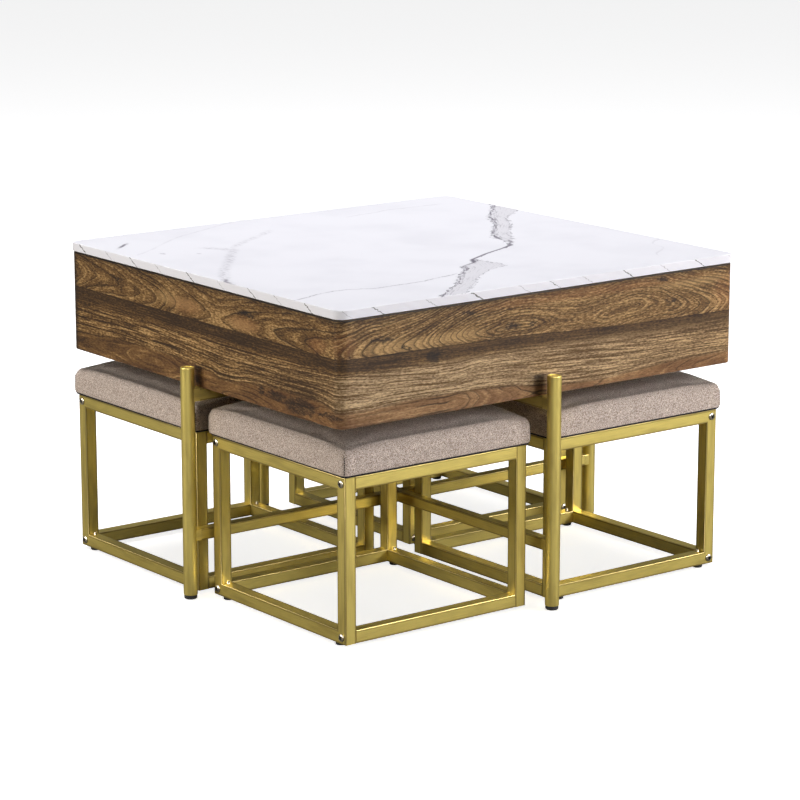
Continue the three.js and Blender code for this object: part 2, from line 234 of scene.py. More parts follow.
# The lower strip is straight grained. One stripe, and the darker line under which its grain turns smooth
# and red.
stripe_height = [
    (-735, 82), (-600, 80), (-500, 77), (-400, 72), (-300, 68), (-200, 67), (-100, 69), (0, 73), (50, 68),
    (100, 64), (150, 60), (190, 57.5), (210, 57.5), (240, 61), (280, 63), (330, 61), (390, 58), (450, 56),
    (500, 53), (550, 48.5), (580, 46.5), (680, 46), (777, 43),
]
red_edge_height = [
    (-735, 30), (-650, 33), (-600, 37), (-560, 38), (-450, 38), (-400, 35), (-370, 32), (-330, 30),
    (-300, 24), (-270, 25), (-240, 29), (-200, 32), (-100, 34), (-60, 33), (-20, 27), (0, 24), (50, 24),
    (100, 27), (150, 28), (230, 27), (280, 25), (320, 23), (360, 18), (400, 15), (450, 11), (500, 10),
    (550, 13), (600, 16), (650, 19), (777, 20),
]
foot_rings = [
    (-735, 3.4), (-650, 2.8), (-575, 2), (-540, 1), (-500, 0.6), (-450, 1.2), (-400, 2.2), (-330, 1.6),
    (-250, 0.4), (-180, 1.8), (-100, 2.6), (-40, 1.6), (0, 0.4), (190, 0.3), (225, 1), (240, 2), (258, 3),
    (285, 4), (320, 5), (380, 6), (450, 5.2), (600, 4.2), (660, 3), (700, 2), (777, 0.6),
]
foot_heart_height = [
    (-735, 16), (-575, 19), (-450, 18), (-330, 6), (-250, 1), (-180, 2), (-60, 12), (0, 9), (190, 9),
    (240, 13), (285, 10), (320, 7), (450, 3), (650, 3), (700, 4), (777, 6),
]
# How strong the figure, the two strips' dark lines and the paler or redder wood are along the wrap, and on
# which side of its rings the upper strip fades: -1 is towards the heart.
figure_strength = [
    (-735, 0.8), (-300, 0.8), (-60, 0.85), (40, 1.0), (380, 1.0), (450, 0.72), (600, 0.72), (700, 0.95),
    (777, 0.95),
]
upper_line_strength = [(-735, 1), (260, 1), (310, 0.8), (400, 0.6), (600, 0.6), (690, 0.95), (777, 1)]
which_side_fades = [(-735, -1), (-120, -1), (10, 1), (320, 1), (420, -0.6), (777, -1)]
foot_line_strength = [
    (-735, 0.35), (-460, 0.25), (-300, 0.55), (-30, 0.6), (60, 0.45), (215, 0.9), (380, 0.8), (777, 0.5),
]
# How much pale grain shows along the wrap: partly paler wood, partly a painted sheen on the front face.
pale_grain_and_sheen_share = [(-735, 0.0), (-200, 0.08), (-30, 0.22), (40, 0.75), (420, 0.65), (600, 0.45), (777, 0.3)]
red_foot_share = [(-735, 0.05), (-450, 0.2), (-200, 0.3), (0, 0.45), (777, 0.5)]
# Oval places on the veneer: middle along, middle height, reach along, reach up and down.
light_places = [
    (110, 111, 100, 15), (215, 112, 75, 14), (-415, 124, 75, 14), (-455, 128, 30, 16), (-245, 116, 50, 13),
    (690, 140, 110, 9),
]
red_places = [
    (-55, 117, 34, 17), (5, 124, 34, 26), (-400, 122, 60, 16), (-240, 118, 55, 15), (470, 150, 330, 12),
    (760, 118, 40, 40),
]
knot_places = [
    (318, 115, 24, 8), (360, 114, 12, 5), (643, 116, 14, 4), (-594, 135, 16, 5), (118, 108, 10, 5),
    (236, 145, 20, 4), (622, 152, 20, 4), (172, 88, 20, 14), (-197, 25, 9, 11), (75, 124, 34, 5),
    (-240, 136, 30, 6),
]
burl_places = [(-100, 18, 52, 17), (-158, 23, 28, 9), (-28, 16, 36, 6)]


def paint(red, green, blue):
    """A colour as a paint chart gives it, 0 to 255."""
    share = [c / 255 for c in (red, green, blue)]
    return tuple(c / 12.92 if c <= 0.04045 else ((c + 0.055) / 1.055) ** 2.4 for c in share) + (1,)


def straight_step(value, start, end, low=0.0, high=1.0, **settings):
    inputs = {"Value": value, "From Min": start, "From Max": end, "To Min": low, "To Max": high}
    return add_node(value.id_data, "ShaderNodeMapRange", inputs, **settings).outputs[0]


soft_step = partial(straight_step, interpolation_type="SMOOTHSTEP")


def noise(place, scale, detail=2.0, roughness=0.5):
    inputs = {"Vector": place, "Scale": scale, "Detail": detail, "Roughness": roughness}
    return add_node(place.id_data, "ShaderNodeTexNoise", inputs).outputs[0]


def speckle(along, across, deep=0.0, detail=2.0, roughness=0.5):
    """Even noise, 0 to 1, whose grains are as long as the two lengths fed in were divided by."""
    inputs = {0: along, 1: across, 2: deep}
    place = add_node(tree_of(along, across), "ShaderNodeCombineXYZ", inputs).outputs[0]
    return noise(place, 1.0, detail, roughness)


def spread_out(value, low, high):
    """Noise, which mostly lies between 0.3 and 0.7, drawn out to low and high."""
    return straight_step(value, 0.3, 0.7, low, high)


def in_millimetres(place):
    inputs = {"Vector": place, "Scale": (1000, 1000, 1000)}
    return add_node(place.id_data, "ShaderNodeMapping", inputs).outputs[0]


def parts_of(place):
    return add_node(place.id_data, "ShaderNodeSeparateXYZ", {0: place}).outputs


def on_piece(tree):
    """Places in the table's own space, which a piece keeps when it moves."""
    return add_node(tree, "ShaderNodeTexCoord").outputs["Object"]


def on_skin(tree):
    """Places along and around the piece's own skin, in mm."""
    return parts_of(in_millimetres(add_node(tree, "ShaderNodeUVMap", uv_map="UVMap").outputs[0]))


def facing_of(tree):
    """How squarely the face looks along each direction, 0 to 1."""
    outward = add_node(tree, "ShaderNodeNewGeometry").outputs["Normal"]
    return parts_of(add_node(tree, "ShaderNodeVectorMath", {0: outward}, operation="ABSOLUTE").outputs[0])


def bumps(height, strength, depth):
    """Fine relief in the surface, its depth in metres."""
    inputs = {"Height": height, "Strength": strength, "Distance": depth}
    return add_node(height.id_data, "ShaderNodeBump", inputs).outputs[0]


def drawn_line(position, points, low=0, high=1, handles="AUTO_CLAMPED"):
    """Reads a line drawn through (position, value) points, whose values lie between low and high."""
    start, end = points[0][0], points[-1][0]
    share = straight_step(position, start, end)
    curve = add_node(position.id_data, "ShaderNodeFloatCurve", {"Value": share})
    line = curve.mapping.curves[0]
    placed = [((x - start) / (end - start), (y - low) / (high - low)) for x, y in points]
    line.points[0].location = placed[0]
    line.points[1].location = placed[-1]
    for place in placed[1:-1]:
        line.points.new(*place)
    for point in line.points:
        point.handle_type = handles
    curve.mapping.update()
    return straight_step(curve.outputs[0], 0.0, 1.0, low, high)


def new_group(name, inputs, outputs):
    """A shader node group whose inputs and outputs are plain numbers."""
    group = bpy.data.node_groups.new(name, "ShaderNodeTree")
    for way, sockets in (("INPUT", inputs), ("OUTPUT", outputs)):
        for socket in sockets:
            group.interface.new_socket(socket, in_out=way, socket_type="NodeSocketFloat")
    return group, group.nodes.new("NodeGroupInput").outputs, group.nodes.new("NodeGroupOutput")


def use_group(group, inputs):
    made = tree_of(*inputs.values()).nodes.new("ShaderNodeGroup")
    made.node_tree = group
    return feed(made, inputs).outputs


def growth_rings_group():
    """Rings cut by the face of a board. Rings Up and Heart Rings count them from the heart of the log, across
    the board and into it. Line is the dark edge of each ring, as wide on the face as Line Width. Inward goes
    from 0 to 1 between two lines, Number tells the rings apart, and Count is both together. The rings lie
    between a circle and a lozenge."""
    roundness = 1.6
    inputs = [
        "Along", "Height", "Rings Up", "Heart Rings", "Heart Slope", "Ring Height", "Line Width", "Wobble",
    ]
    group, given, wanted = new_group("growth_rings", inputs, ["Line", "Inward", "Number", "Count"])
    slow = speckle(over(given["Along"], 55.0), over(given["Height"], 16.0), 1.0, 1.0)
    quick = speckle(over(given["Along"], 9.0), over(given["Height"], 4.5), 4.0, 2.0)
    up, deep = size_of(given["Rings Up"]), given["Heart Rings"]
    count = plus(power(up, roundness), power(deep, roundness))
    count = larger(power(count, 1 / roundness), 0.05)
    rise = over(power(over(up, count), roundness - 1), given["Ring Height"])
    lean = times(power(over(deep, count), roundness - 1), given["Heart Slope"])
    steepness = larger(power(plus(times(rise, rise), times(lean, lean)), 0.5), 0.02)
    shake = times(straight_step(slow, 0.0, 1.0, -1.0, 1.0), given["Wobble"])
    ragged = times(straight_step(quick, 0.0, 1.0, -0.7, 0.7), steepness)
    count = plus(plus(count, shake), ragged)
    number = rounded(count)
    away = over(size_of(minus(count, number)), steepness)
    line = soft_step(over(away, given["Line Width"]), 1.0, 0.1)
    feed(wanted, {"Line": line, "Inward": calc("FRACT", count), "Number": number, "Count": count})
    return group


def steepness_of(points):
    """How steep a drawn line is between its points."""
    slopes = [((a + b) / 2, abs((q - p) / (b - a))) for (a, p), (b, q) in zip(points, points[1:])]
    return [(points[0][0], slopes[0][1])] + slopes + [(points[-1][0], slopes[-1][1])]


def patch(along, height, middle_along, middle_height, reach_along, reach_height):
    """An oval area, 1 at its middle and 0 past its reach."""
    a = over(minus(along, middle_along), reach_along)
    b = over(minus(height, middle_height), reach_height)
    return soft_step(power(plus(times(a, a), times(b, b)), 0.5), 1.0, 0.3)


def patches(along, height, places):
    """Several oval areas together: middle along, middle height, reach along and reach up and down of each."""
    marked = 0.0
    for place in places:
        marked = larger(marked, patch(along, height, *place))
    return marked


growth_rings = growth_rings_group()
walnut_dark = paint(52, 36, 22)
walnut_middle = paint(117, 86, 49)
walnut_light = paint(196, 158, 104)
walnut_red = paint(153, 99, 61)
walnut_pale_and_sheen = paint(214, 188, 150)
walnut_line = paint(26, 18, 12)
burl_paint = paint(30, 24, 22)

veneer, tree, shader = new_material("walnut_veneer")
round_box, height, _ = on_skin(tree)
along = smaller(round_box, minus(mirror_line, round_box))
join_height = drawn_line(along, strip_join, 80, 120, "VECTOR")
above_join = minus(height, join_height)
is_upper = soft_step(above_join, -0.4, 0.4)
stripe = drawn_line(along, stripe_height, 40, 90)
red_edge = drawn_line(along, red_edge_height, 0, 40)
is_foot = soft_step(minus(height, red_edge), 3.5, -4.5)

# Upper strip: nested flames with thin dark lines.
ring_size = drawn_line(along, ring_height, 2, 5)
rings_up = over(minus(height, drawn_line(along, heart_height, 90, 140)), ring_size)
upper = use_group(growth_rings, {
    "Along": round_box, "Height": height, "Rings Up": rings_up, "Ring Height": ring_size,
    "Heart Rings": drawn_line(along, heart_rings, 0, 26),
    "Heart Slope": drawn_line(along, steepness_of(heart_rings), 0, 0.12),
    "Line Width": 1.9, "Wobble": 0.30,
})
boldness = drawn_line(upper["Number"], ring_boldness, 0, 1, "VECTOR")
faded = speckle(over(round_box, 60.0), times(upper["Number"], 3.7), 17.0, 1.0)
upper_line = times(upper["Line"], times(boldness, soft_step(faded, 0.34, 0.56, 0.15, 1.0)))
upper_line = times(upper_line, drawn_line(along, upper_line_strength))
fade_way = drawn_line(along, which_side_fades, -1, 1)
upper_fade = times(straight_step(upper["Inward"], 0.0, 1.0, -0.20, 0.20), fade_way)

# Lower strip: long straight streaks that follow one drawn stripe, then smooth red wood with a few wide rings.
above_stripe = straight_step(minus(height, stripe), 0.0, minus(join_height, stripe), 0.0, 35.0)
below_stripe = straight_step(minus(height, red_edge), 0.0, minus(stripe, red_edge), -35.0, 0.0)
streak = plus(above_stripe, below_stripe)
streak_wide = speckle(over(round_box, 260.0), over(streak, 7.5), 3.0, 2.0, 0.5)
streak_fine = speckle(over(round_box, 60.0), over(streak, 2.4), 5.0, 2.0, 0.6)
streak_dark = speckle(over(round_box, 190.0), over(streak, 2.6), 8.0, 1.0, 0.5)
foot_up = over(minus(height, drawn_line(along, foot_heart_height, 0, 30)), 7.5)
foot = use_group(growth_rings, {
    "Along": round_box, "Height": height, "Rings Up": foot_up, "Ring Height": 7.5,
    "Heart Rings": drawn_line(along, foot_rings, 0, 8),
    "Heart Slope": drawn_line(along, steepness_of(foot_rings), 0, 0.12),
    "Line Width": 1.9, "Wobble": 0.35,
})
foot_faded = speckle(over(round_box, 50.0), times(foot["Number"], 2.9), 27.0, 1.0)
foot_line = times(foot["Line"], soft_step(foot_faded, 0.36, 0.56, 0.1, 1.0))
foot_line = times(foot_line, drawn_line(along, foot_line_strength))
red_line = soft_step(size_of(minus(height, red_edge)), 1.7, 0.2, 0.0, 0.6)
red_line = times(red_line, soft_step(speckle(over(round_box, 70.0), 0.0, 4.0, 1.0), 0.38, 0.6))

# Short fibres and pores lie along the board everywhere.
fibre = speckle(over(round_box, 6.5), over(height, 2.1), 3.0, 2.0, 0.6)
pore = speckle(over(round_box, 7.0), over(height, 1.7), 12.0, 1.0, 0.5)
cloud = speckle(over(round_box, 95.0), over(height, 30.0), 50.0, 2.0)
ribbon = speckle(over(round_box, 120.0), times(upper["Count"], 0.6), 31.0, 2.0, 0.6)

flowing = speckle(over(round_box, 26.0), times(upper["Count"], 2.7), 41.0, 2.0, 0.6)
upper_light = plus(spread_out(ribbon, 0.30, 0.74), upper_fade)
figure = drawn_line(along, figure_strength)
flowing = times(spread_out(flowing, -0.30, 0.30), figure)
upper_light = plus(plus(0.5, times(minus(upper_light, 0.5), figure)), flowing)
lower_light = plus(spread_out(streak_wide, 0.30, 0.72), spread_out(streak_fine, -0.52, 0.50))
lower_light = minus(lower_light, soft_step(streak_dark, 0.53, 0.64, 0.0, 0.55))
band = soft_step(above_join, -32.0, -12.0)
dark_share = times(band, minus(1.0, is_upper))
lower_light = between(times(band, 0.85), lower_light, times(lower_light, 0.18))
foot_streak = speckle(over(round_box, 55.0), times(foot["Count"], 2.6), 6.0, 2.0, 0.6)
foot_light = plus(spread_out(cloud, 0.26, 0.50), straight_step(foot["Inward"], 0.0, 1.0, -0.12, 0.12))
foot_light = plus(foot_light, spread_out(foot_streak, -0.24, 0.24))
lower_light = between(is_foot, lower_light, foot_light)
lightness = between(is_upper, lower_light, upper_light)
smooth_wood = times(larger(dark_share, is_foot), 0.50)
smooth_wood = larger(smooth_wood, times(is_upper, 0.12))
fibre_light = times(spread_out(fibre, -0.40, 0.40), minus(1.0, smooth_wood))
lightness = plus(lightness, fibre_light)
# Painted light by face: the left face is painted darker, the front a little lighter.
painted_face_light = drawn_line(along, [(-735, -0.06), (-40, -0.05), (30, 0.01), (777, 0.02)], -0.1, 0.1)
lightness = plus(lightness, painted_face_light)
lightness = plus(lightness, spread_out(cloud, -0.08, 0.08), clamp=True)
wood = mix_paint(straight_step(lightness, 0.0, 0.5), walnut_dark, walnut_middle)
wood = mix_paint(straight_step(lightness, 0.5, 1.0), wood, walnut_light)

light_wood = times(times(patches(along, height, light_places), is_upper), times(figure, 0.5))
wood = mix_paint(light_wood, wood, walnut_light)

# Paler straight grain in the middle of the front, lighter and greyer there partly as a painted sheen on the
# front face; red wood along the foot and in a few places above.
pale_and_sheen = times(soft_step(height, 86.0, 68.0), minus(1.0, times(is_foot, 0.6)))
pale_and_sheen = times(pale_and_sheen, drawn_line(along, pale_grain_and_sheen_share))
wood = mix_paint(times(pale_and_sheen, 0.80), wood, mix_paint(lightness, walnut_middle, walnut_pale_and_sheen))
red = times(is_foot, drawn_line(along, red_foot_share))
for place in red_places:
    red = larger(red, times(patch(along, height, *place), 0.5))
wood = mix_paint(red, wood, mix_paint(0.55, wood, walnut_red))
lines = between(is_upper, larger(times(foot_line, is_foot), red_line), upper_line)
wood = mix_paint(times(lines, 0.95), wood, walnut_line)
pores = soft_step(pore, 0.56, 0.70, 0.0, 0.42)
wood = mix_paint(pores, wood, walnut_line)

# Knots and a burl near the front left foot. Along the upper edge the wood is darkened as a painted shadow of
# the slab; the strip join gets a thin dark line and the wood turns darker towards the back left corner.
gnarl = speckle(over(round_box, 15.0), over(height, 8.0), 80.0, 3.0, 0.65)
gnarled_along = plus(along, straight_step(gnarl, 0.25, 0.75, -15.0, 15.0))
gnarled_height = plus(height, straight_step(gnarl, 0.25, 0.75, 5.0, -5.0))
knots = patches(gnarled_along, gnarled_height, knot_places)
burl = patches(gnarled_along, gnarled_height, burl_places)
burl_lines = speckle(over(gnarled_along, 7.0), over(gnarled_height, 2.4), 81.0, 2.0)
burl = times(times(burl, 2.2, clamp=True), soft_step(burl_lines, 0.38, 0.52, 0.35, 1.0))
wood = mix_paint(times(larger(knots, burl), 0.82), wood, burl_paint)
join_shadow = times(soft_step(above_join, -2.4, -0.3), soft_step(above_join, 0.3, -0.3))
# Painted shadow under the slab: a soft darker band, then a near-black line right under its edge.
painted_edge_shade = larger(soft_step(height, 149.0, 157.0, 0.0, 0.35), soft_step(height, 156.5, 159.5, 0.0, 0.95))
painted_edge_shade = larger(painted_edge_shade, times(join_shadow, 0.5))
# Darker towards the back left corner.
painted_edge_shade = larger(painted_edge_shade, soft_step(along, -708.0, -722.0, 0.0, 0.75))
wood = mix_paint(painted_edge_shade, wood, walnut_line)
relief = minus(times(fibre, 0.5), plus(pores, lines))
feed(shader, {
    "Base Color": wood, "Roughness": spread_out(pore, 0.42, 0.60), "Specular IOR Level": 0.22,
    "Normal": bumps(relief, 0.25, 0.0002),
})

# The inside faces and the bottom are plain straight-grained walnut of the same colour.
plain_walnut, tree, shader = new_material("walnut_plain")
x, y, z = parts_of(in_millimetres(on_piece(tree)))
facing = facing_of(tree)
along_board = between(calc("GREATER_THAN", facing[0], 0.5), x, y)
across_board = between(calc("GREATER_THAN", facing[2], 0.5), z, y)
rings = use_group(growth_rings, {
    "Along": along_board, "Height": across_board, "Rings Up": over(across_board, 6.0),
    "Heart Rings": 8.0, "Heart Slope": 0.0, "Ring Height": 6.0, "Line Width": 1.2, "Wobble": 0.6,
})
fibre = speckle(over(along_board, 30.0), over(across_board, 2.2), 3.0, 2.0, 0.65)
wood = mix_paint(straight_step(fibre, 0.25, 0.75), walnut_dark, walnut_light)
wood = mix_paint(times(rings["Line"], 0.5), wood, walnut_line)
feed(shader, {
    "Base Color": wood, "Roughness": 0.55, "Specular IOR Level": 0.3, "Normal": bumps(fibre, 0.2, 0.0002),
})


def rounded_plan(half_x, half_y, radius, steps):
    """Stations round a rounded rectangle from its back left corner: place, outward direction and distance
    along the square-cornered outline, which is 0 at the front left corner."""
    stations = []
    starts = [-2 * half_y, 0, 2 * half_x, 2 * half_x + 2 * half_y]
    corners = [(-half_x, half_y), (-half_x, -half_y), (half_x, -half_y), (half_x, half_y)]
    first_angles = [90, 180, 270, 0]
    for start, (x, y), first in zip(starts, corners, first_angles):
        centre = Vector((x - math.copysign(radius, x), y - math.copysign(radius, y)))
        for step in range(steps + 1):
            turn = math.radians(first + 90 * step / steps)
            outward = Vector((math.cos(turn), math.sin(turn)))
            stations.append((centre + radius * outward, outward, start + radius * (2 * step / steps - 1)))
    return stations


def skin_layer(shape):
    return shape.loops.layers.uv.get("UVMap") or shape.loops.layers.uv.new("UVMap")


def skin_over(shape, sections, along, around, closed, material_of=None):
    """Quads from section to section, with the veneer or brushing laid along and around them."""
    cover = skin_layer(shape)
    rows = [[shape.verts.new(point) for point in section] for section in sections]
    count, size = len(rows), len(rows[0])
    for i in range(count if closed else count - 1):
        for j in range(size):
            places = ((i, j), (i + 1, j), (i + 1, j + 1), (i, j + 1))
            face = shape.faces.new([rows[a % count][b % size] for a, b in places])
            face.material_index = material_of[j] if material_of else 0
            for loop, (a, b) in zip(face.loops, places):
                loop[cover].uv = (along[a], around[b])
    if not closed:
        for row in (rows[0], rows[-1]):
            cap = shape.faces.new(row)
            for loop in cap.loops:
                loop[cover].uv = (loop.vert.co.x + loop.vert.co.z, loop.vert.co.y + 0.01)


def finished_mesh(name, shape):
    bmesh.ops.recalc_face_normals(shape, faces=shape.faces)
    mesh = bpy.data.meshes.new(name)
    shape.to_mesh(mesh)
    shape.free()
    return mesh


def smooth_object(name, mesh, materials, smooth_angle):
    for material in materials:
        mesh.materials.append(material)
    mesh.shade_smooth()
    mesh.set_sharp_from_angle(angle=math.radians(smooth_angle))
    return add_object(name, mesh)


def new_piece(name, shape, materials, smooth_angle=40):
    """The finished mesh as an object, smooth over its eased edges and flat on its flat faces."""
    piece = smooth_object(name, finished_mesh(name, shape), materials, smooth_angle)
    evened = piece.modifiers.new("even_faces", "WEIGHTED_NORMAL")
    evened.keep_sharp = True
    return piece


box_inner_ease = 0.0005
stations = rounded_plan(box_half_x, box_half_y, box_corner_radius, 12)
quarter = [math.radians(a) for a in (0, 30, 60, 90)]
ease = box_edge_ease
bottom_z, top_z = box_low.z, box_high.z
outline = [(panel_thickness, bottom_z)]
outline += [(ease - ease * math.sin(a), bottom_z + ease - ease * math.cos(a)) for a in quarter]
outline += [(ease - ease * math.cos(a), top_z - ease + ease * math.sin(a)) for a in quarter]
outline += [(panel_thickness - box_inner_ease, top_z), (panel_thickness, top_z - box_inner_ease)]
outer_points, inner_points = 8, 3
sections = [[Vector((p.x - o.x * d, p.y - o.y * d, z)) for d, z in outline] for p, o, _ in stations]
along = [s[2] for s in stations] + [wrap_end - box_corner_radius]
around = [z - bottom_z for _, z in outline] + [0]
shape = bmesh.new()
skin_over(shape, sections, along, around, True, [0] * outer_points + [1] * inner_points)
box_sides = new_piece("box_sides", shape, [veneer, plain_walnut])
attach(box_sides, "table")
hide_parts("box_panel_front", "box_panel_left", "box_panel_right", "box_panel_back")


def finish_node(name, material):
    """A CAD node that keeps its shape gets its material in every slot."""
    for place in nodes[name].material_slots:
        place.material = material


finish_node("box_bottom", plain_walnut)

# Top slab. White board printed like marble: one grey vein with ragged edges runs across its right half,
# finer ones cross the rest, and short slanted dashes follow each other round the narrow edge.
slab_corner_radius = 0.018
slab_edge_ease = 0.001
slab_low, slab_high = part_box("top_slab")
slab_half_x, slab_half_y = slab_high.x, slab_high.y
slab_thickness = 1000 * (slab_high.z - slab_low.z)
# The two sides of the grey vein, in mm: (back to front place, left to right place)
vein_left_side = [
    (-400, -238), (-358, -194), (-303, -124), (-250, -77), (-215, -36), (-193, -25), (-178, 12), (-156, 25),
    (-127, 79), (-106, 129), (-92, 155), (-70, 168), (-53, 174), (-22, 178), (10, 200), (77, 260), (142, 300),
    (231, 381), (400, 470),
]
vein_right_side = [
    (-400, -196), (-358, -143), (-320, -102), (-273, -55), (-240, -4), (-228, 34), (-205, 38), (-178, 32),
    (-156, 32), (-127, 84), (-106, 133), (-92, 157), (-72, 181), (-17, 216), (30, 256), (69, 289), (119, 320),
    (162, 382), (400, 640),
]
front_line = [
    (-400, -262), (-372, -255), (-333, -242), (-298, -237), (-264, -246), (-231, -256), (-154, -255),
    (-124, -248), (-83, -240), (-60, -232),
]
back_line = [(100, 286), (147, 293), (178, 297), (216, 304), (277, 301), (330, 299)]
left_line = [(-380, 190), (-337, 215), (-238, 288), (-164, 324), (-77, 361), (-39, 372)]
fork_stem = [
    (-110, -398), (-87, -391), (-59, -377), (29, -315), (71, -279), (110, -250), (145, -226), (166, -236),
    (200, -262),
]
fork_root = [(-130, -404), (-102, -394), (-80, -388), (-50, -370)]
tick_line = [(-372, 256), (-356, 269), (-332, 289), (-316, 302)]
fork_branch = [(-250, 128), (-226, 145), (-190, 176), (-115, 225), (-60, 262)]
right_line = [(267, -350), (285, -298), (336, -256), (346, -222), (383, -195), (400, -186)]
marble_white = paint(244, 243, 248)
marble_cloud = paint(232, 231, 237)
vein_fill = paint(229, 227, 232)
vein_dark = paint(124, 118, 130)
edge_white = paint(236, 235, 241)
edge_dash = paint(92, 90, 88)


def fine_vein_group():
    """A hairline vein: dark along its middle, broken and ragged, and gone past its two ends."""
    group, given, wanted = new_group("fine_vein", ["Distance", "Along", "Start", "End", "Width"], ["Vein"])
    fade_length = 22.0
    ragged = speckle(over(given["Along"], 11.0), over(given["Start"], 7.0), 2.0, 3.0, 0.6)
    broken = speckle(over(given["Along"], 26.0), over(given["End"], 5.0), 6.0, 2.0)
    aside = plus(given["Distance"], straight_step(ragged, 0.0, 1.0, -4.0, 4.0))
    near = over(size_of(aside), given["Width"])
    vein = times(soft_step(near, 1.0, 0.0), soft_step(broken, 0.34, 0.62, 0.40, 1.0))
    begun = soft_step(minus(given["Along"], given["Start"]), 0.0, fade_length)
    ended = soft_step(minus(given["End"], given["Along"]), 0.0, fade_length)
    feed(wanted, {"Vein": times(vein, times(begun, ended))})
    return group


fine_vein = fine_vein_group()
marble, tree, shader = new_material("marble_print")
x, y, _ = parts_of(in_millimetres(on_piece(tree)))


def hairline(points, along, across, lean, width, strength):
    """One fine vein through given points. Lean turns its sideways distance into a square one."""
    values = [v for _, v in points]
    read = drawn_line(along, points, min(values) - 5, max(values) + 5)
    distance = times(minus(across, read), lean)
    inputs = {
        "Distance": distance, "Along": along, "Start": points[0][0], "End": points[-1][0], "Width": width,
    }
    return times(use_group(fine_vein, inputs)["Vein"], strength)


vein_lean = 0.74
left_side = drawn_line(y, vein_left_side, -260, 660, "VECTOR")
right_side = drawn_line(y, vein_right_side, -260, 660, "VECTOR")
from_left = times(minus(x, left_side), vein_lean)
from_right = times(minus(right_side, x), vein_lean)
along_vein = plus(x, y)
jag = speckle(over(from_left, 8.0), over(along_vein, 17.0), 3.0, 3.0, 0.6)
jag = straight_step(jag, 0.25, 0.75, -7.0, 7.0)
strokes = speckle(over(from_left, 3.4), over(along_vein, 48.0), 5.0, 3.0, 0.6)
ragged_left = plus(from_left, jag)
ragged_right = minus(from_right, jag)
fill = soft_step(smaller(ragged_left, ragged_right), -0.5, 3.0)
left_edge = soft_step(size_of(minus(ragged_left, 2.0)), 4.5, 0.6)
left_edge = times(left_edge, soft_step(strokes, 0.36, 0.56, 0.15, 1.0))
right_edge = soft_step(size_of(minus(ragged_right, 1.4)), 3.0, 0.4)
right_edge = times(right_edge, soft_step(strokes, 0.40, 0.60, 0.10, 0.6))
near_left = soft_step(from_left, 22.0, 2.0, 0.12, 0.60)
streaks = times(times(fill, near_left), soft_step(strokes, 0.50, 0.64))
vein = larger(larger(left_edge, right_edge), streaks)
hook = times(soft_step(y, -80.0, -95.0), soft_step(y, -196.0, -176.0))
hook_line = soft_step(size_of(times(minus(x, left_side), 0.5)), 4.0, 0.5)
vein = larger(vein, times(hook, hook_line))
fine = hairline(front_line, x, y, 0.97, 3.2, 0.60)
smudge = speckle(over(x, 5.0), over(y, 15.0), 13.0, 3.0, 0.6)
smudge = soft_step(smudge, 0.38, 0.62, 0.15, 1.0)
for line in (
    hairline(back_line, x, y, 0.98, 3.5, 0.20),
    hairline(left_line, x, y, 0.85, 3.5, 0.14),
    hairline(tick_line, x, y, 0.77, 5.0, 1.0),
    hairline(fork_root, y, x, 0.9, 7.0, 1.0),
    times(hairline(fork_stem, y, x, 0.8, 13.0, 0.42), smudge),
    times(hairline(fork_branch, x, y, 0.85, 11.0, 0.24), smudge),
    hairline(right_line, x, y, 0.75, 3.0, 0.16),
):
    fine = larger(fine, line)
for middle_x, middle_y, reach, strength in ((-331, 182, 6, 0.35), (-285, 147, 5, 0.3)):
    spot = times(patch(x, plus(y, jag), middle_x, middle_y, reach, reach * 1.4), strength)
    fine = larger(fine, spot)
cloud = speckle(over(x, 150.0), over(y, 150.0), 20.0, 3.0)
top_colour = mix_paint(soft_step(cloud, 0.42, 0.72, 0.0, 0.5), marble_white, marble_cloud)
top_colour = mix_paint(times(fill, 0.92), top_colour, vein_fill)
top_colour = mix_paint(vein, top_colour, vein_dark)
top_colour = mix_paint(fine, top_colour, vein_dark)

# The dashes round the edge slant forward as they go down, nearly evenly spaced.
dash_spacing = 77.6
dash_start = -706.0
dash_slant = 1.65
dash_shift = [
    (-740, 0), (-629, 0), (-556, -5), (-484, -11), (-395, 0), (-313, 5), (-230, 10), (-164, -1), (-87, -2),
    (2, 10), (59, -11), (157, 9), (242, 17), (334, 31), (393, 13), (459, 1), (542, 6), (690, 0), (1000, -14),
    (1300, 12), (1600, -8), (1900, 15), (2360, 0),
]
edge_along, edge_height, _ = on_skin(tree)
edge_jag = speckle(over(edge_along, 5.0), over(edge_height, 4.0), 8.0, 2.0)
down = times(minus(slab_thickness, edge_height), dash_slant)
slid = minus(edge_along, down)
slid = plus(slid, straight_step(edge_jag, 0.0, 1.0, -5.0, 5.0))
slid = minus(slid, drawn_line(slid, dash_shift, -20, 40))
turns = over(minus(slid, dash_start), dash_spacing)
from_dash = times(size_of(minus(turns, rounded(turns))), dash_spacing)
bold = calc("PINGPONG", rounded(turns), 1.0)
dash_width = straight_step(bold, 0.0, 1.0, 2.0, 1.1)
dash = soft_step(over(from_dash, dash_width), 1.0, 0.25)
dash = times(dash, straight_step(bold, 0.0, 1.0, 0.95, 0.50))
edge_cloud = speckle(over(slid, 14.0), over(edge_height, 30.0), 4.0, 2.0)
edge_colour = mix_paint(soft_step(edge_cloud, 0.5, 0.75, 0.0, 0.6), edge_white, marble_cloud)
edge_colour = mix_paint(dash, edge_colour, edge_dash)
is_edge = soft_step(facing_of(tree)[2], 0.75, 0.45)
gloss = speckle(over(x, 40.0), over(y, 40.0), 9.0, 2.0)
grain = speckle(over(x, 1.5), over(y, 1.5), 9.0, 2.0)
feed(shader, {
    "Base Color": mix_paint(is_edge, top_colour, edge_colour), "Specular IOR Level": 0.05,
    "Roughness": straight_step(gloss, 0.2, 0.8, 0.46, 0.58), "Normal": bumps(grain, 0.05, 0.0001),
})

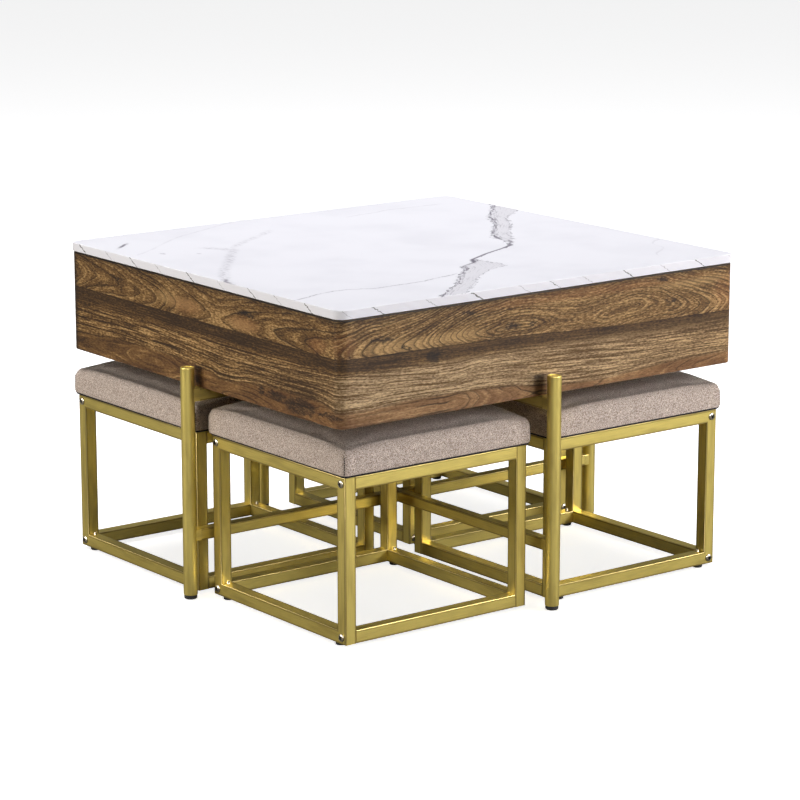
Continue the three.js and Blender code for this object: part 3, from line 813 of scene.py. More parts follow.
stations = rounded_plan(slab_half_x, slab_half_y, slab_corner_radius, 14)
ease = slab_edge_ease
rim = [(ease - ease * math.sin(a), slab_high.z - ease + ease * math.cos(a)) for a in quarter]
rim += [(ease - ease * math.cos(a), slab_low.z + ease - ease * math.sin(a)) for a in quarter]
shape = bmesh.new()
cover = skin_layer(shape)
rows = [[shape.verts.new((p.x - o.x * d, p.y - o.y * d, z)) for p, o, _ in stations] for d, z in rim]
edge_places = [s[2] for s in stations] + [4 * slab_half_x + 2 * slab_half_y - slab_corner_radius]
for i in range(len(rows) - 1):
    for j in range(len(stations)):
        places = ((i, j), (i + 1, j), (i + 1, j + 1), (i, j + 1))
        face = shape.faces.new([rows[a][b % len(stations)] for a, b in places])
        for loop, (a, b) in zip(face.loops, places):
            loop[cover].uv = (edge_places[b], rim[a][1] - slab_low.z)
for row in (rows[0], rows[-1]):
    flat = shape.faces.new(row)
    for loop in flat.loops:
        loop[cover].uv = loop.vert.co.xy
marble_top = new_piece("marble_top", shape, [marble])
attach(marble_top, "top")
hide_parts("top_slab")

# Posts. Four round brass-finished tubes stand at the middle of each side. Each ends in a flat cap set
# a little below its rounded rim, and two short square stubs are welded to its inner side for the beams.
post_names = ["left", "front", "right", "back"]
post_rim_width = 0.0025
post_rim_ease = 0.0012
post_recess = 0.0008
post_rim_inner_ease = 0.0003
post_foot_ease = 0.0008
stub_start = 0.004
stub_length = 0.005
tube_edge_ease = 0.0012
brass_paint = (0.80, 0.66, 0.20, 1)
# Brown for antique toning, and also for painted shade towards the corners of square tube.
brass_toning_and_shade = (0.20, 0.125, 0.035, 1)
# Painted highlight right on the corners of square tube.
brass_painted_highlight = (0.86, 0.72, 0.32, 1)


def brushed_group():
    """Long fine brush marks, and the slow darker patches of an antique lacquer."""
    group, given, wanted = new_group("brushed_metal", ["Along", "Around"], ["Marks", "Patches"])
    marks = speckle(over(given["Along"], 45.0), over(given["Around"], 0.45), 2.0, 2.0, 0.6)
    darker = speckle(over(given["Along"], 70.0), over(given["Around"], 14.0), 7.0, 2.0, 0.5)
    feed(wanted, {"Marks": marks, "Patches": darker})
    return group


brushed_metal = brushed_group()


def brass_finish(name, corner_spacing):
    """Antique brass. On square tube its corners lie corner_spacing mm apart around the tube; towards them the
    brass turns brown, partly as toning and partly as painted shade, with a painted highlight right on each
    corner.
    """
    made, tree, shader = new_material(name)
    along, around, _ = on_skin(tree)
    brushed = use_group(brushed_metal, {"Along": along, "Around": around})
    colour = mix_paint(soft_step(brushed["Patches"], 0.40, 0.75, 0.0, 0.30), brass_paint, brass_toning_and_shade)
    colour = mix_paint(straight_step(brushed["Marks"], 0.35, 0.75, 0.0, 0.34), colour, brass_toning_and_shade)
    if corner_spacing:
        share = calc("FRACT", over(plus(around, corner_spacing / 2), corner_spacing))
        to_corner = times(size_of(minus(share, 0.5)), corner_spacing)
        # Brown towards the corners: partly antique toning, partly painted shade.
        toning_and_shade_reach = plus(to_corner, straight_step(brushed["Patches"], 0.0, 1.0, -1.0, 1.0))
        colour = mix_paint(soft_step(toning_and_shade_reach, 3.6, 1.1, 0.0, 0.72), colour, brass_toning_and_shade)
        # A thin painted highlight on each corner.
        colour = mix_paint(soft_step(to_corner, 1.0, 0.3, 0.0, 0.45), colour, brass_painted_highlight)
    roughness = straight_step(brushed["Marks"], 0.2, 0.8, 0.36, 0.52)
    normal = bumps(brushed["Marks"], 0.35, 0.0001)
    feed(shader, {"Base Color": colour, "Metallic": 1.0, "Roughness": roughness, "Normal": normal})
    return made


brass_round = brass_finish("brass_round", 0)
brass_square = brass_finish("brass_square", 20)
corner_paint_spacing = 0.02


def square_section(size, ease):
    """Round a square tube: (sideways, up, place around), with the corners evenly spaced around."""
    points = []
    for corner in range(4):
        turn = math.radians(90 * corner)
        sideways = math.copysign(1, math.cos(turn + math.pi / 4)) * (size / 2 - ease)
        up = math.copysign(1, math.sin(turn + math.pi / 4)) * (size / 2 - ease)
        for step in range(4):
            angle = turn + math.pi / 2 * step / 3
            place = corner * corner_paint_spacing + (step / 3 - 0.5) * 2 * ease
            points.append((sideways + ease * math.cos(angle), up + ease * math.sin(angle), place))
    return points


def straight_tube(shape, start, end, size):
    """Square tube with closed ends from start to end, level or upright."""
    start, end = Vector(start), Vector(end)
    forward = (end - start).normalized()
    up = Vector((0, 0, 1)) if abs(forward.z) < 0.5 else Vector((0, 1, 0))
    side = forward.cross(up)
    section = square_section(size, tube_edge_ease)
    sections = [[at + side * a + up * b for a, b, _ in section] for at in (start, end)]
    around = [c for _, _, c in section]
    around.append(around[0] + 4 * corner_paint_spacing)
    skin_over(shape, sections, [start.dot(forward), end.dot(forward)], around, False)


def turned_skin(shape, centre, profile, steps=48):
    """Turned piece: (radius, height) points from its foot to its top, closed on the axis."""
    turns = [2 * math.pi * k / steps for k in range(steps)]
    cover = skin_layer(shape)
    rows = []
    for radius, height in profile:
        directions = [(math.cos(t), math.sin(t)) for t in turns] if radius else [(0, 0)]
        places = [(centre[0] + radius * a, centre[1] + radius * b, height) for a, b in directions]
        rows.append([shape.verts.new(place) for place in places])
    widest = max(radius for radius, _ in profile)
    for i in range(len(rows) - 1):
        for j in range(steps):
            corners = [(i, j), (i, j + 1), (i + 1, j + 1), (i + 1, j)]
            corners = [(a, b) for a, b in corners if len(rows[a]) > 1 or b == j]
            face = shape.faces.new([rows[a][b % len(rows[a])] for a, b in corners])
            for loop, (a, b) in zip(face.loops, corners):
                loop[cover].uv = (profile[a][1], widest * 2 * math.pi * b / steps)


for name in post_names:
    low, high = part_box(f"post_{name}")
    foot_low, foot_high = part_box(f"post_foot_{name}")
    middle = (foot_low + foot_high) / 2
    inward = Vector((-middle.x, -middle.y, 0)).normalized()
    radius = min(high.x - low.x, high.y - low.y) / 2
    rim_inner = radius - post_rim_width
    ease = post_rim_ease
    profile = [(0, low.z), (radius - post_foot_ease, low.z), (radius, low.z + post_foot_ease)]
    profile.append((radius, high.z - ease))
    profile += [(radius - ease + ease * math.cos(a), high.z - ease + ease * math.sin(a)) for a in quarter[1:]]
    profile += [(rim_inner + post_rim_inner_ease, high.z), (rim_inner, high.z - post_rim_inner_ease)]
    profile += [(rim_inner, high.z - post_recess), (0, high.z - post_recess)]
    shape = bmesh.new()
    turned_skin(shape, middle, profile, 64)
    for level_name in ("upper", "lower"):
        beam = "front_back" if abs(middle.x) < abs(middle.y) else "left_right"
        beam_low, beam_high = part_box(f"{level_name}_beam_{beam}")
        size = beam_high.z - beam_low.z
        at_height = Vector((middle.x, middle.y, (beam_low.z + beam_high.z) / 2))
        straight_tube(
            shape, at_height + inward * stub_start, at_height + inward * (radius + stub_length), size,
        )
    piece = new_piece(f"post_{name}_tube", shape, [brass_round], 35)
    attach(piece, "table")
    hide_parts(f"post_{name}")

rubber, tree, shader = new_material("black_rubber")
dust = noise(on_piece(tree), 900.0, 3.0)
dusty = mix_paint(soft_step(dust, 0.4, 0.8), paint(22, 21, 20), paint(46, 44, 41))
feed(shader, {"Base Color": dusty, "Roughness": 0.62, "Normal": bumps(dust, 0.2, 0.0001)})
for name in post_names:
    finish_node(f"post_foot_{name}", rubber)

# Beams. Square tubes from post to post, one pair right under the box and one pair near the floor.
# Each pair crosses in a half lap at the middle of the table.
lap_gap = 0.0003
lap_skin = [0.01, 0.02, 0.021, 0.039, 0.04, 0.05, 0.07]  # places around the tube, for the brushing
for level_name in ("upper", "lower"):
    for beam, through_on_top in (("front_back", True), ("left_right", False)):
        low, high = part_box(f"{level_name}_beam_{beam}")
        size = high.z - low.z
        along_y = beam == "front_back"
        reach = high.y if along_y else high.x
        forward = Vector((0, 1, 0)) if along_y else Vector((1, 0, 0))
        middle = Vector((0, 0, (low.z + high.z) / 2))
        lap = size / 2 + lap_gap
        shape = bmesh.new()
        straight_tube(shape, middle - forward * reach, middle - forward * lap, size)
        straight_tube(shape, middle + forward * lap, middle + forward * reach, size)
        side = forward.cross(Vector((0, 0, 1)))
        towards = 1 if through_on_top else -1
        half, flat = size / 2, size / 2 - tube_edge_ease
        outline = [(-half, 0), (-half, flat), (-flat, half), (flat, half), (half, flat), (half, 0)]
        sections = []
        for end in (-1, 1):
            at = middle + forward * (lap * end)
            heights = [Vector((0, 0, towards * max(b, lap_gap / 2))) for _, b in outline]
            sections.append([at + side * a + height for (a, _), height in zip(outline, heights)])
        skin_over(shape, sections, [-lap, lap], lap_skin, False)
        piece = new_piece(f"{level_name}_beam_{beam}_tube", shape, [brass_square])
        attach(piece, "table")
        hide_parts(f"{level_name}_beam_{beam}")

# Lift. Two steel arms on each side swing the top up and forward on riveted pins; a cross bar joins the
# front pair. The plates are dark, with a light oiled sheen.
dark_steel, tree, shader = new_material("dark_steel")
x, y, z = parts_of(in_millimetres(on_piece(tree)))
brushed = use_group(brushed_metal, {"Along": y, "Around": plus(z, x)})
feed(shader, {
    "Base Color": mix_paint(brushed["Patches"], (0.075, 0.078, 0.085, 1), (0.17, 0.17, 0.175, 1)),
    "Metallic": 1.0,
    "Roughness": straight_step(brushed["Marks"], 0.2, 0.8, 0.34, 0.5),
    "Normal": bumps(brushed["Marks"], 0.2, 0.0001),
})
for name in nodes:
    if name.startswith("lift_"):
        finish_node(name, dark_steel)

# Stool frames. Each stool has two welded side frames of square tube, mitred at their corners, and four
# cross rails bolted between them. All of it has the same brushed brass finish.
stool_names = ["front_stool", "left_stool", "right_stool", "back_stool"]
stool_tube = 0.02
foot_height = 0.005
side_skin_shift = 0.7  # so that each side of a frame has its own brush marks


def welded_loop(shape, low, high):
    """A flat rectangle of square tube, mitred at its four corners and one tube thick between low and high."""
    across_x = high.x - low.x > high.y - low.y
    flat = Vector((1, 0, 0)) if across_x else Vector((0, 1, 0))
    through = flat.cross(Vector((0, 0, 1)))
    half_width = (high - low).dot(flat) / 2
    half_height = (high.z - low.z) / 2
    middle = (low + high) / 2
    section = square_section(stool_tube, tube_edge_ease)
    cover = skin_layer(shape)
    rows = []
    for right, up in ((-1, -1), (1, -1), (1, 1), (-1, 1)):
        corner = middle + flat * right * (half_width - stool_tube / 2)
        corner = corner + Vector((0, 0, up * (half_height - stool_tube / 2)))
        outward = flat * right + Vector((0, 0, up))
        rows.append([shape.verts.new(corner + outward * a + through * b) for a, b, _ in section])
    sides = [flat, Vector((0, 0, 1)), flat, Vector((0, 0, 1))]
    size = len(section)
    for i in range(4):
        for j in range(size):
            this_row, next_row, k = rows[i], rows[(i + 1) % 4], (j + 1) % size
            face = shape.faces.new((this_row[j], next_row[j], next_row[k], this_row[k]))
            place = section[j][2]
            next_place = section[k][2] + (4 * corner_paint_spacing if j == size - 1 else 0)
            for loop, around in zip(face.loops, (place, place, next_place, next_place)):
                loop[cover].uv = (loop.vert.co.dot(sides[i]) + side_skin_shift * i, around)


for stool in stool_names:
    shape = bmesh.new()
    for letter in "ab":
        low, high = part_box(f"{stool}_side_frame_{letter}")
        welded_loop(shape, Vector((low.x, low.y, low.z + foot_height)), high)
    piece = new_piece(f"{stool}_side_frames", shape, [brass_square])
    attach(piece, stool)
    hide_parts(f"{stool}_side_frame_a", f"{stool}_side_frame_b")
    shape = bmesh.new()
    rails = [f"{stool}_{place}_rail_{letter}" for place in ("lower", "upper") for letter in "ab"]
    for rail in rails:
        low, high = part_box(rail)
        middle = (low + high) / 2
        reach = (high - low) / 2
        along_x = reach.x > reach.y
        half = Vector((reach.x, 0, 0)) if along_x else Vector((0, reach.y, 0))
        straight_tube(shape, middle - half, middle + half, stool_tube)
    piece = new_piece(f"{stool}_cross_rails", shape, [brass_square])
    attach(piece, stool)
    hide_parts(*rails)

# Bolts and feet. Cross-slotted bolts hold the rails through the side frames. Black rubber feet are
# screwed in from below, and the ends of their screws show on top of the lower tubes.
bolt_radius = 0.0062
bolt_rise = 0.0026
bolt_sides = 24
slot_half_width = 0.0016
slot_reach = 0.0037
slot_depth = 0.0014
slot_taper = 0.8
foot_radius = 0.008
foot_inset = 0.025
screw_end_radius = 0.0025
screw_end_rise = 0.0045
zinc, tree, shader = new_material("zinc_bolt")
stain = noise(on_piece(tree), 420.0, 3.0)
feed(shader, {
    "Base Color": mix_paint(soft_step(stain, 0.35, 0.7), (0.70, 0.66, 0.58, 1), (0.50, 0.42, 0.28, 1)),
    "Metallic": 1.0, "Roughness": straight_step(stain, 0.2, 0.8, 0.2, 0.38),
    "Normal": bumps(stain, 0.15, 0.0001),
})
# Near-black finish in the cross slot and on the narrow band round the foot of each head: painted shade of the
# recess and of the gap round the head.
bolt_shade_paint, tree, shader = new_material("bolt_painted_shade")
painted_shade_tone = mix_paint(noise(on_piece(tree), 700.0), paint(14, 12, 10), paint(40, 33, 26))
feed(shader, {"Base Color": painted_shade_tone, "Roughness": 0.5})


def bolt_head_mesh():
    """A domed head that faces up, with a cross-shaped slot cut into its flat middle. The slot and the narrow
    band round its foot take the second material, which is painted shade.
    """
    shape = bmesh.new()
    turns = [2 * math.pi * k / bolt_sides for k in range(bolt_sides)]
    profile = [(1.0, 0.0), (1.0, 0.0008), (0.93, 0.0015), (0.80, 0.0020), (0.64, bolt_rise)]
    rows = []
    for share, height in profile:
        radius = bolt_radius * share
        rows.append([shape.verts.new((radius * math.cos(t), radius * math.sin(t), height)) for t in turns])
    for lower_row, upper_row in zip(rows, rows[1:]):
        for k in range(bolt_sides):
            n = (k + 1) % bolt_sides
            side = shape.faces.new((lower_row[k], lower_row[n], upper_row[n], upper_row[k]))
            # The lowest band round the head is painted shade, the dark gap where it sits.
            side.material_index = 1 if lower_row is rows[0] else 0
    shape.faces.new(rows[0])
    w, r = slot_half_width, slot_reach
    cross = [
        (r, -w), (r, w), (w, w), (w, r), (-w, r), (-w, w), (-r, w), (-r, -w), (-w, -w), (-w, -r), (w, -r),
        (w, -w),
    ]
    mouth = [shape.verts.new((a, b, bolt_rise)) for a, b in cross]
    foot = [shape.verts.new((a * slot_taper, b * slot_taper, bolt_rise - slot_depth)) for a, b in cross]
    rim_edges = [shape.edges.get((rows[-1][k], rows[-1][(k + 1) % bolt_sides])) for k in range(bolt_sides)]
    mouth_edges = [shape.edges.new((mouth[k], mouth[(k + 1) % 12])) for k in range(12)]
    bmesh.ops.triangle_fill(shape, edges=rim_edges + mouth_edges, use_beauty=True)
    for k in range(12):
        shape.faces.new((mouth[k], mouth[(k + 1) % 12], foot[(k + 1) % 12], foot[k])).material_index = 1
    shape.faces.new(foot).material_index = 1
    return finished_mesh("bolt_head", shape)


def repeated_tree(name):
    """Geometry Nodes: one fitting stands on each point, turned to the point's own direction."""
    tree = bpy.data.node_groups.new(name, "GeometryNodeTree")
    inputs = {
        "Points": "Geometry", "Fitting": "Object", "Turn Seed": "Int", "Most Turn": "Float",
        "Finish": "Material",
    }
    for socket, kind in inputs.items():
        tree.interface.new_socket(socket, in_out="INPUT", socket_type="NodeSocket" + kind)
    tree.interface.new_socket("Fittings", in_out="OUTPUT", socket_type="NodeSocketGeometry")
    given = tree.nodes.new("NodeGroupInput").outputs
    wanted = tree.nodes.new("NodeGroupOutput")
    facing = add_node(tree, "GeometryNodeInputNamedAttribute", {"Name": "facing"}, data_type="FLOAT_VECTOR")
    aligned = add_node(
        tree, "FunctionNodeAlignRotationToVector", {"Vector": facing.outputs["Attribute"]}, axis="Z",
    )
    chance = {3: given["Most Turn"], "Seed": given["Turn Seed"]}
    turn = add_node(tree, "FunctionNodeRandomValue", chance, data_type="FLOAT")
    spin = add_node(tree, "FunctionNodeAxisAngleToRotation", {"Axis": (0, 0, 1), "Angle": turn.outputs[1]})
    both = {"Rotation": aligned.outputs[0], "Rotate By": spin.outputs[0]}
    turned = add_node(tree, "FunctionNodeRotateRotation", both, rotation_space="LOCAL")
    fitting = add_node(tree, "GeometryNodeObjectInfo", {"Object": given["Fitting"]})
    placed = add_node(tree, "GeometryNodeInstanceOnPoints", {
        "Points": given["Points"], "Instance": fitting.outputs["Geometry"], "Rotation": turned.outputs[0],
    })
    real = add_node(tree, "GeometryNodeRealizeInstances", {"Geometry": placed.outputs[0]})
    side = add_node(tree, "GeometryNodeInputMaterialIndex")
    first = add_node(
        tree, "FunctionNodeCompare", {2: side.outputs[0], 3: 0}, data_type="INT", operation="EQUAL",
    )
    finish = {"Geometry": real.outputs[0], "Selection": first.outputs[0], "Material": given["Finish"]}
    feed(wanted, {"Fittings": add_node(tree, "GeometryNodeSetMaterial", finish).outputs[0]})
    return tree


fittings_on_points = repeated_tree("fittings_on_points")


def plain_copy(source, name):
    """The evaluated shape of an object as a new mesh."""
    bpy.context.view_layer.update()
    ready = bpy.context.evaluated_depsgraph_get()
    mesh = bpy.data.meshes.new_from_object(source.evaluated_get(ready), depsgraph=ready)
    mesh.name = name
    return mesh


def place_fittings(name, fitting, finish, points, directions, seed=1, most_turn=0.0):
    """A plain mesh of one fitting at every point."""
    seeds = bpy.data.meshes.new(name + "_points")
    seeds.from_pydata([tuple(p) for p in points], [], [])
    facing = seeds.attributes.new("facing", "FLOAT_VECTOR", "POINT")
    facing.data.foreach_set("vector", [c for d in directions for c in d])
    holder = add_object(name + "_points", seeds)
    modifier = holder.modifiers.new("fittings", "NODES")
    modifier.node_group = fittings_on_points
    inputs = {"Fitting": fitting, "Turn Seed": seed, "Most Turn": most_turn, "Finish": finish}
    for socket in fittings_on_points.interface.items_tree:
        if socket.name in inputs:
            modifier[socket.identifier] = inputs[socket.name]
    mesh = plain_copy(holder, name)
    bpy.data.objects.remove(holder)
    return add_object(name, mesh)


def turned_pattern(name, profile, steps, material):
    shape = bmesh.new()
    turned_skin(shape, (0, 0), profile, steps)
    return smooth_object(name, finished_mesh(name, shape), [material], pattern_smooth_angle)


pattern_smooth_angle = 35
bolt_pattern = smooth_object("bolt_pattern", bolt_head_mesh(), [zinc, bolt_shade_paint], pattern_smooth_angle)
foot_profile = [(0, 0), (foot_radius * 0.86, 0), (foot_radius, 0.001), (foot_radius, foot_height - 0.0006)]
foot_profile += [(foot_radius * 0.94, foot_height), (0, foot_height)]
foot_pattern = turned_pattern("foot_pattern", foot_profile, 28, rubber)
end_profile = [(0, -0.001), (screw_end_radius, -0.001)]
for ring in range(3):
    lift = screw_end_rise * (ring + 0.3) / 3.4
    end_profile += [(screw_end_radius, lift), (screw_end_radius * 0.84, lift + screw_end_rise * 0.14)]
end_profile += [
    (screw_end_radius, screw_end_rise * 0.9), (screw_end_radius * 0.7, screw_end_rise), (0, screw_end_rise),
]
screw_pattern = turned_pattern("screw_pattern", end_profile, 16, zinc)
full_turn = 6.28
for index, stool in enumerate(stool_names):
    frames = [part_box(f"{stool}_side_frame_{letter}") for letter in "ab"]
    rails = [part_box(f"{stool}_{place}_rail_{letter}") for place in ("lower", "upper") for letter in "ab"]
    faces_x = frames[0][1].x - frames[0][0].x < frames[0][1].y - frames[0][0].y
    stool_middle = (frames[0][0] + frames[0][1] + frames[1][0] + frames[1][1]) / 4
    bolts, bolt_faces, feet, ends = [], [], [], []
    for low, high in frames:
        middle = (low + high) / 2
        if faces_x:
            outward = Vector((math.copysign(1, middle.x - stool_middle.x), 0, 0))
            outer = high.x if outward.x > 0 else low.x
        else:
            outward = Vector((0, math.copysign(1, middle.y - stool_middle.y), 0))
            outer = high.y if outward.y > 0 else low.y
        for rail_low, rail_high in rails:
            rail = (rail_low + rail_high) / 2
            bolts.append((outer, rail.y, rail.z) if faces_x else (rail.x, outer, rail.z))
            bolt_faces.append(tuple(outward))
        for end in (-1, 1):
            reach = ((high.y - low.y) if faces_x else (high.x - low.x)) / 2 - foot_inset
            x, y = (middle.x, middle.y + end * reach) if faces_x else (middle.x + end * reach, middle.y)
            feet.append((x, y, low.z))
            ends.append((x, y, low.z + foot_height + stool_tube))
    ups = [(0, 0, 1)] * 4
    for kind, pattern, finish, points, directions, turn, slot_name in (
        ("bolts", bolt_pattern, zinc, bolts, bolt_faces, full_turn, "brass_metal"),
        ("feet", foot_pattern, rubber, feet, ups, 0.0, "rubber"),
        ("foot_screws", screw_pattern, zinc, ends, ups, full_turn, "brass_metal"),
    ):
        piece = place_fittings(f"{stool}_{kind}", pattern, finish, points, directions, 11 + index, turn)
        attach(piece, stool)

# Cushions. Foam on a board, covered in a heathered beige weave that is pulled under and tacked, so the sides
# swell a little and draw in at the frame. The underside and the lowest few mm of the sides are painted
# near-black: a painted shadow of the cushion's overhang, which shows as a thin dark line above the rail.
cushion_corner = 0.006
cushion_start_smaller = 0.0002
cushion_edge_round = 0.009
cushion_side_height = 0.0325
cushion_shoulder = 0.0400
cushion_crown = 0.0530
edge_bow = 0.0065
# Height and how far the side has drawn in there, from the swell down to the foot.
side_profile = [
    (0.0240, 0.0004), (0.0170, 0.0), (0.0085, 0.0001), (0.0042, 0.0004), (0.0018, 0.0011), (0.0005, 0.0023),
    (0.0, 0.0042),
]
even_quad = 0.005
held_height = 0.008
held_fade = 0.005
filling_steps = 20
most_swell = 0.0030
foam_give = 0.0004
shadow_band_height = 0.0043
shadow_band_paint = paint(24, 24, 30)
fabric, tree, shader = new_material("heather_weave")


def woven_group():
    """Plain weave of thick and thin threads on all faces: thread height and how light each yarn is."""
    group, given, wanted = new_group(
        "plain_weave", ["X", "Y", "Z", "Facing X", "Facing Z", "Pitch"], ["Height", "Shade"],
    )
    first = between(calc("GREATER_THAN", given["Facing X"], 0.6), given["X"], given["Y"])
    second = between(calc("GREATER_THAN", given["Facing Z"], 0.6), given["Z"], given["Y"])
    a = times(over(first, given["Pitch"]), math.pi)
    b = times(over(second, given["Pitch"]), math.pi)
    crossing = times(calc("SINE", a), calc("SINE", b))
    warp = speckle(over(first, given["Pitch"]), over(second, 9.0), 1.0, 1.0)
    weft = speckle(over(first, 9.0), over(second, given["Pitch"]), 5.0, 1.0)
    shade = times(plus(warp, weft), 0.5)
    feed(wanted, {"Height": straight_step(crossing, -1.0, 1.0), "Shade": shade})
    return group


plain_weave = woven_group()
place = in_millimetres(on_piece(tree))
x, y, z = parts_of(place)
facing = facing_of(tree)
weave = use_group(
    plain_weave, {"X": x, "Y": y, "Z": z, "Facing X": facing[0], "Facing Z": facing[2], "Pitch": 1.1},
)
flecks = noise(place, 0.85, 3.0, 0.8)
mottle = noise(place, 0.07)
cloth_light = paint(252, 240, 230)
cloth_middle = paint(204, 185, 172)
cloth_dark = paint(116, 98, 86)
cloth = mix_paint(straight_step(flecks, 0.40, 0.5), cloth_dark, cloth_middle)
cloth = mix_paint(straight_step(flecks, 0.5, 0.60), cloth, cloth_light)
cloth = mix_paint(straight_step(weave["Shade"], 0.35, 0.65, 0.0, 0.35), cloth, cloth_dark)
cloth = mix_paint(spread_out(mottle, 0.0, 0.18), cloth, cloth_dark)
# Painted shadow: below this height the cover is painted near-black.
shadow_band_top = 1000 * (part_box("front_stool_cushion")[0].z + shadow_band_height)
shadow_band = soft_step(z, shadow_band_top + 0.2, shadow_band_top - 0.2)
feed(shader, {
    "Base Color": mix_paint(shadow_band, cloth, shadow_band_paint), "Roughness": 0.9, "Specular IOR Level": 0.15,
    "Sheen Weight": 0.08, "Sheen Roughness": 0.45,
    "Normal": bumps(plus(weave["Height"], flecks), 0.5, 0.0004),
})


def cushion_mesh(name, low, high):
    """The sewn cover before it is filled: crowned, rounded over its edges, tucked in at the foot."""
    half_x = (high.x - low.x) / 2 - cushion_start_smaller
    half_y = (high.y - low.y) / 2 - cushion_start_smaller
    middle = (low + high) / 2
    steps = 40
    shape = bmesh.new()

    def plan(a, b, inset):
        """A place on the square from -1 to 1, moved so that the four corners are round."""
        reach_x, reach_y = half_x - inset, half_y - inset
        radius = max(cushion_corner - inset * 0.3, 0.004)
        x, y = a * reach_x, b * reach_y
        over_x, over_y = (abs(x) - reach_x + radius) / radius, (abs(y) - reach_y + radius) / radius
        if over_x > 0 and over_y > 0:
            x = math.copysign(reach_x - radius + radius * over_x * math.sqrt(1 - over_y * over_y / 2), x)
            y = math.copysign(reach_y - radius + radius * over_y * math.sqrt(1 - over_x * over_x / 2), y)
        return x, y

    def spread(k):
        """Places from -1 to 1, closer together near the edges."""
        t = 2 * k / steps - 1
        return math.sin(t * math.pi / 2) * 0.35 + t * 0.65

    rows = []
    for i in range(steps + 1):
        row = []
        for j in range(steps + 1):
            a, b = spread(i), spread(j)
            x, y = plan(a, b, 0)
            gap = min(1 - abs(a), 1 - abs(b)) * half_x
            near = min(gap / cushion_edge_round, 1)
            z = cushion_side_height + (cushion_shoulder - cushion_side_height) * math.sqrt(
                max(0, 1 - (1 - near) ** 2)
            )
            z += (cushion_crown - cushion_shoulder - edge_bow) * (1 - abs(a) ** 3.5) * (1 - abs(b) ** 3.5)
            z += edge_bow * (1 - abs(a * b) ** 4)
            row.append(shape.verts.new((middle.x + x, middle.y + y, low.z + z)))
        rows.append(row)
    for i in range(steps):
        for j in range(steps):
            shape.faces.new((rows[i][j], rows[i + 1][j], rows[i + 1][j + 1], rows[i][j + 1]))
    border = [(k, 0) for k in range(steps)] + [(steps, k) for k in range(steps)]
    border += [(steps - k, steps) for k in range(steps)] + [(0, steps - k) for k in range(steps)]
    above = [rows[i][j] for i, j in border]
    for height, inset in side_profile:
        ring = []
        for i, j in border:
            x, y = plan(spread(i), spread(j), inset)
            ring.append(shape.verts.new((middle.x + x, middle.y + y, low.z + height)))
        for k in range(len(border)):
            n = (k + 1) % len(border)
            shape.faces.new((above[k], above[n], ring[n], ring[k]))
        above = ring
    shape.faces.new(above)
    return finished_mesh(name, shape)


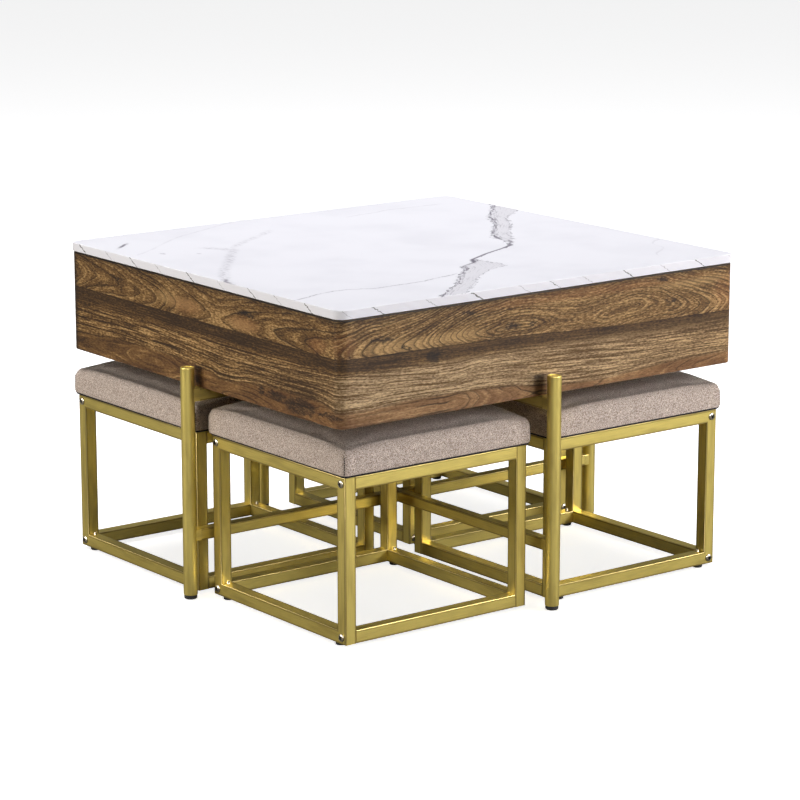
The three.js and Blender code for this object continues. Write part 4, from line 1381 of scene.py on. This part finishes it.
def filled_cushion(name, low, high, seed):
    """Even quads all over, then pressed out from inside by a short cloth run, held along the tacked foot."""
    holder = add_object(name, cushion_mesh(name, low, high))
    remesh = holder.modifiers.new("even_quads", "REMESH")
    remesh.mode = "VOXEL"
    remesh.voxel_size = even_quad
    holder.data = plain_copy(holder, name)
    holder.modifiers.clear()
    rest = np.array([v.co for v in holder.data.vertices])
    held = holder.vertex_groups.new(name="held")
    for vertex in holder.data.vertices:
        rise = vertex.co.z - low.z
        if rise < held_height:
            held.add([vertex.index], max(0.0, min(1.0, (held_height - rise) / held_fade)), "REPLACE")
    cloth = holder.modifiers.new("filling", "CLOTH")
    cloth.settings.quality = 5
    cloth.settings.mass = 0.25
    cloth.settings.tension_stiffness = 12
    cloth.settings.compression_stiffness = 12
    cloth.settings.shear_stiffness = 6
    cloth.settings.bending_stiffness = 0.6
    cloth.settings.use_pressure = True
    cloth.settings.uniform_pressure_force = 3.2 + 0.25 * seed
    cloth.settings.vertex_group_mass = "held"
    cloth.settings.effector_weights.gravity = 0
    cloth.point_cache.frame_start = 1
    cloth.point_cache.frame_end = filling_steps
    for step in range(1, filling_steps + 1):
        bpy.context.scene.frame_set(step)
    pressed = plain_copy(holder, name + "_pressed")
    moved = np.array([v.co for v in pressed.vertices]) - rest
    outward = np.array([v.normal for v in holder.data.vertices])
    sunk = np.minimum((moved * outward).sum(axis=1, keepdims=True) + foam_give, 0)
    moved -= sunk * outward
    length = np.linalg.norm(moved, axis=1, keepdims=True)
    moved *= np.minimum(1, most_swell / np.maximum(length, 1e-9))
    rest = rest + moved
    holder.modifiers.clear()
    bpy.context.scene.frame_set(1)
    bpy.data.meshes.remove(pressed)
    holder.data.vertices.foreach_set("co", rest.astype(np.float32).ravel())
    holder.data.update()
    holder.data.materials.clear()
    holder.data.materials.append(fabric)
    holder.data.shade_smooth()
    finer = holder.modifiers.new("finer", "SUBSURF")
    finer.levels = 1
    finer.render_levels = 1
    return holder


cushions = {}
for index, stool in enumerate(stool_names):
    low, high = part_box(f"{stool}_cushion")
    cushion = filled_cushion(f"{stool}_cover", low, high, index)
    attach(cushion, stool)
    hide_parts(f"{stool}_cushion")
    cushions[stool] = cushion

# Corner seams. The cover's corners are sewn shut over their lowest part; the thread shows as a row of
# small dark stitches in a shallow groove.
seam_start = 0.002
seam_height = 0.033
stitch_length = 0.0034
stitch_depth = 0.0001
outside_cushion = 0.22
thread, tree, shader = new_material("seam_thread")
twist = noise(on_piece(tree), 1500.0)
feed(shader, {"Base Color": mix_paint(twist, paint(30, 24, 22), paint(60, 49, 45)), "Roughness": 0.8})
stitch_profile = [
    (0, -0.0017), (0.0005, -0.0014), (0.0008, -0.0007), (0.0008, 0.0007), (0.0005, 0.0014), (0, 0.0017),
]
stitch_pattern = turned_pattern("stitch_pattern", stitch_profile, 8, thread)
for index, stool in enumerate(stool_names):
    low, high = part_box(f"{stool}_cushion")
    middle = (low + high) / 2
    covered = plain_copy(cushions[stool], "cover_surface")
    surface = BVHTree.FromPolygons([v.co for v in covered.vertices], [p.vertices for p in covered.polygons])
    points, directions = [], []
    for side_x in (-1, 1):
        for side_y in (-1, 1):
            inward = Vector((-side_x, -side_y, 0)).normalized()
            line = []
            for k in range(int(seam_height / stitch_length) + 1):
                x, y = middle.x + side_x * outside_cushion, middle.y + side_y * outside_cushion
                start = Vector((x, y, low.z + seam_start + k * stitch_length))
                line.append(surface.ray_cast(start, inward)[0])
            for a, b in zip(line, line[1:]):
                points.append((a + b) / 2 + inward * stitch_depth)
                directions.append((b - a).normalized())
    bpy.data.meshes.remove(covered)
    seam = place_fittings(f"{stool}_corner_seams", stitch_pattern, thread, points, directions, 31 + index)
    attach(seam, stool)

# The patterns that the fittings were copied from aren't part of the table.
for pattern in (bolt_pattern, foot_pattern, screw_pattern, stitch_pattern):
    bpy.data.objects.remove(pattern)
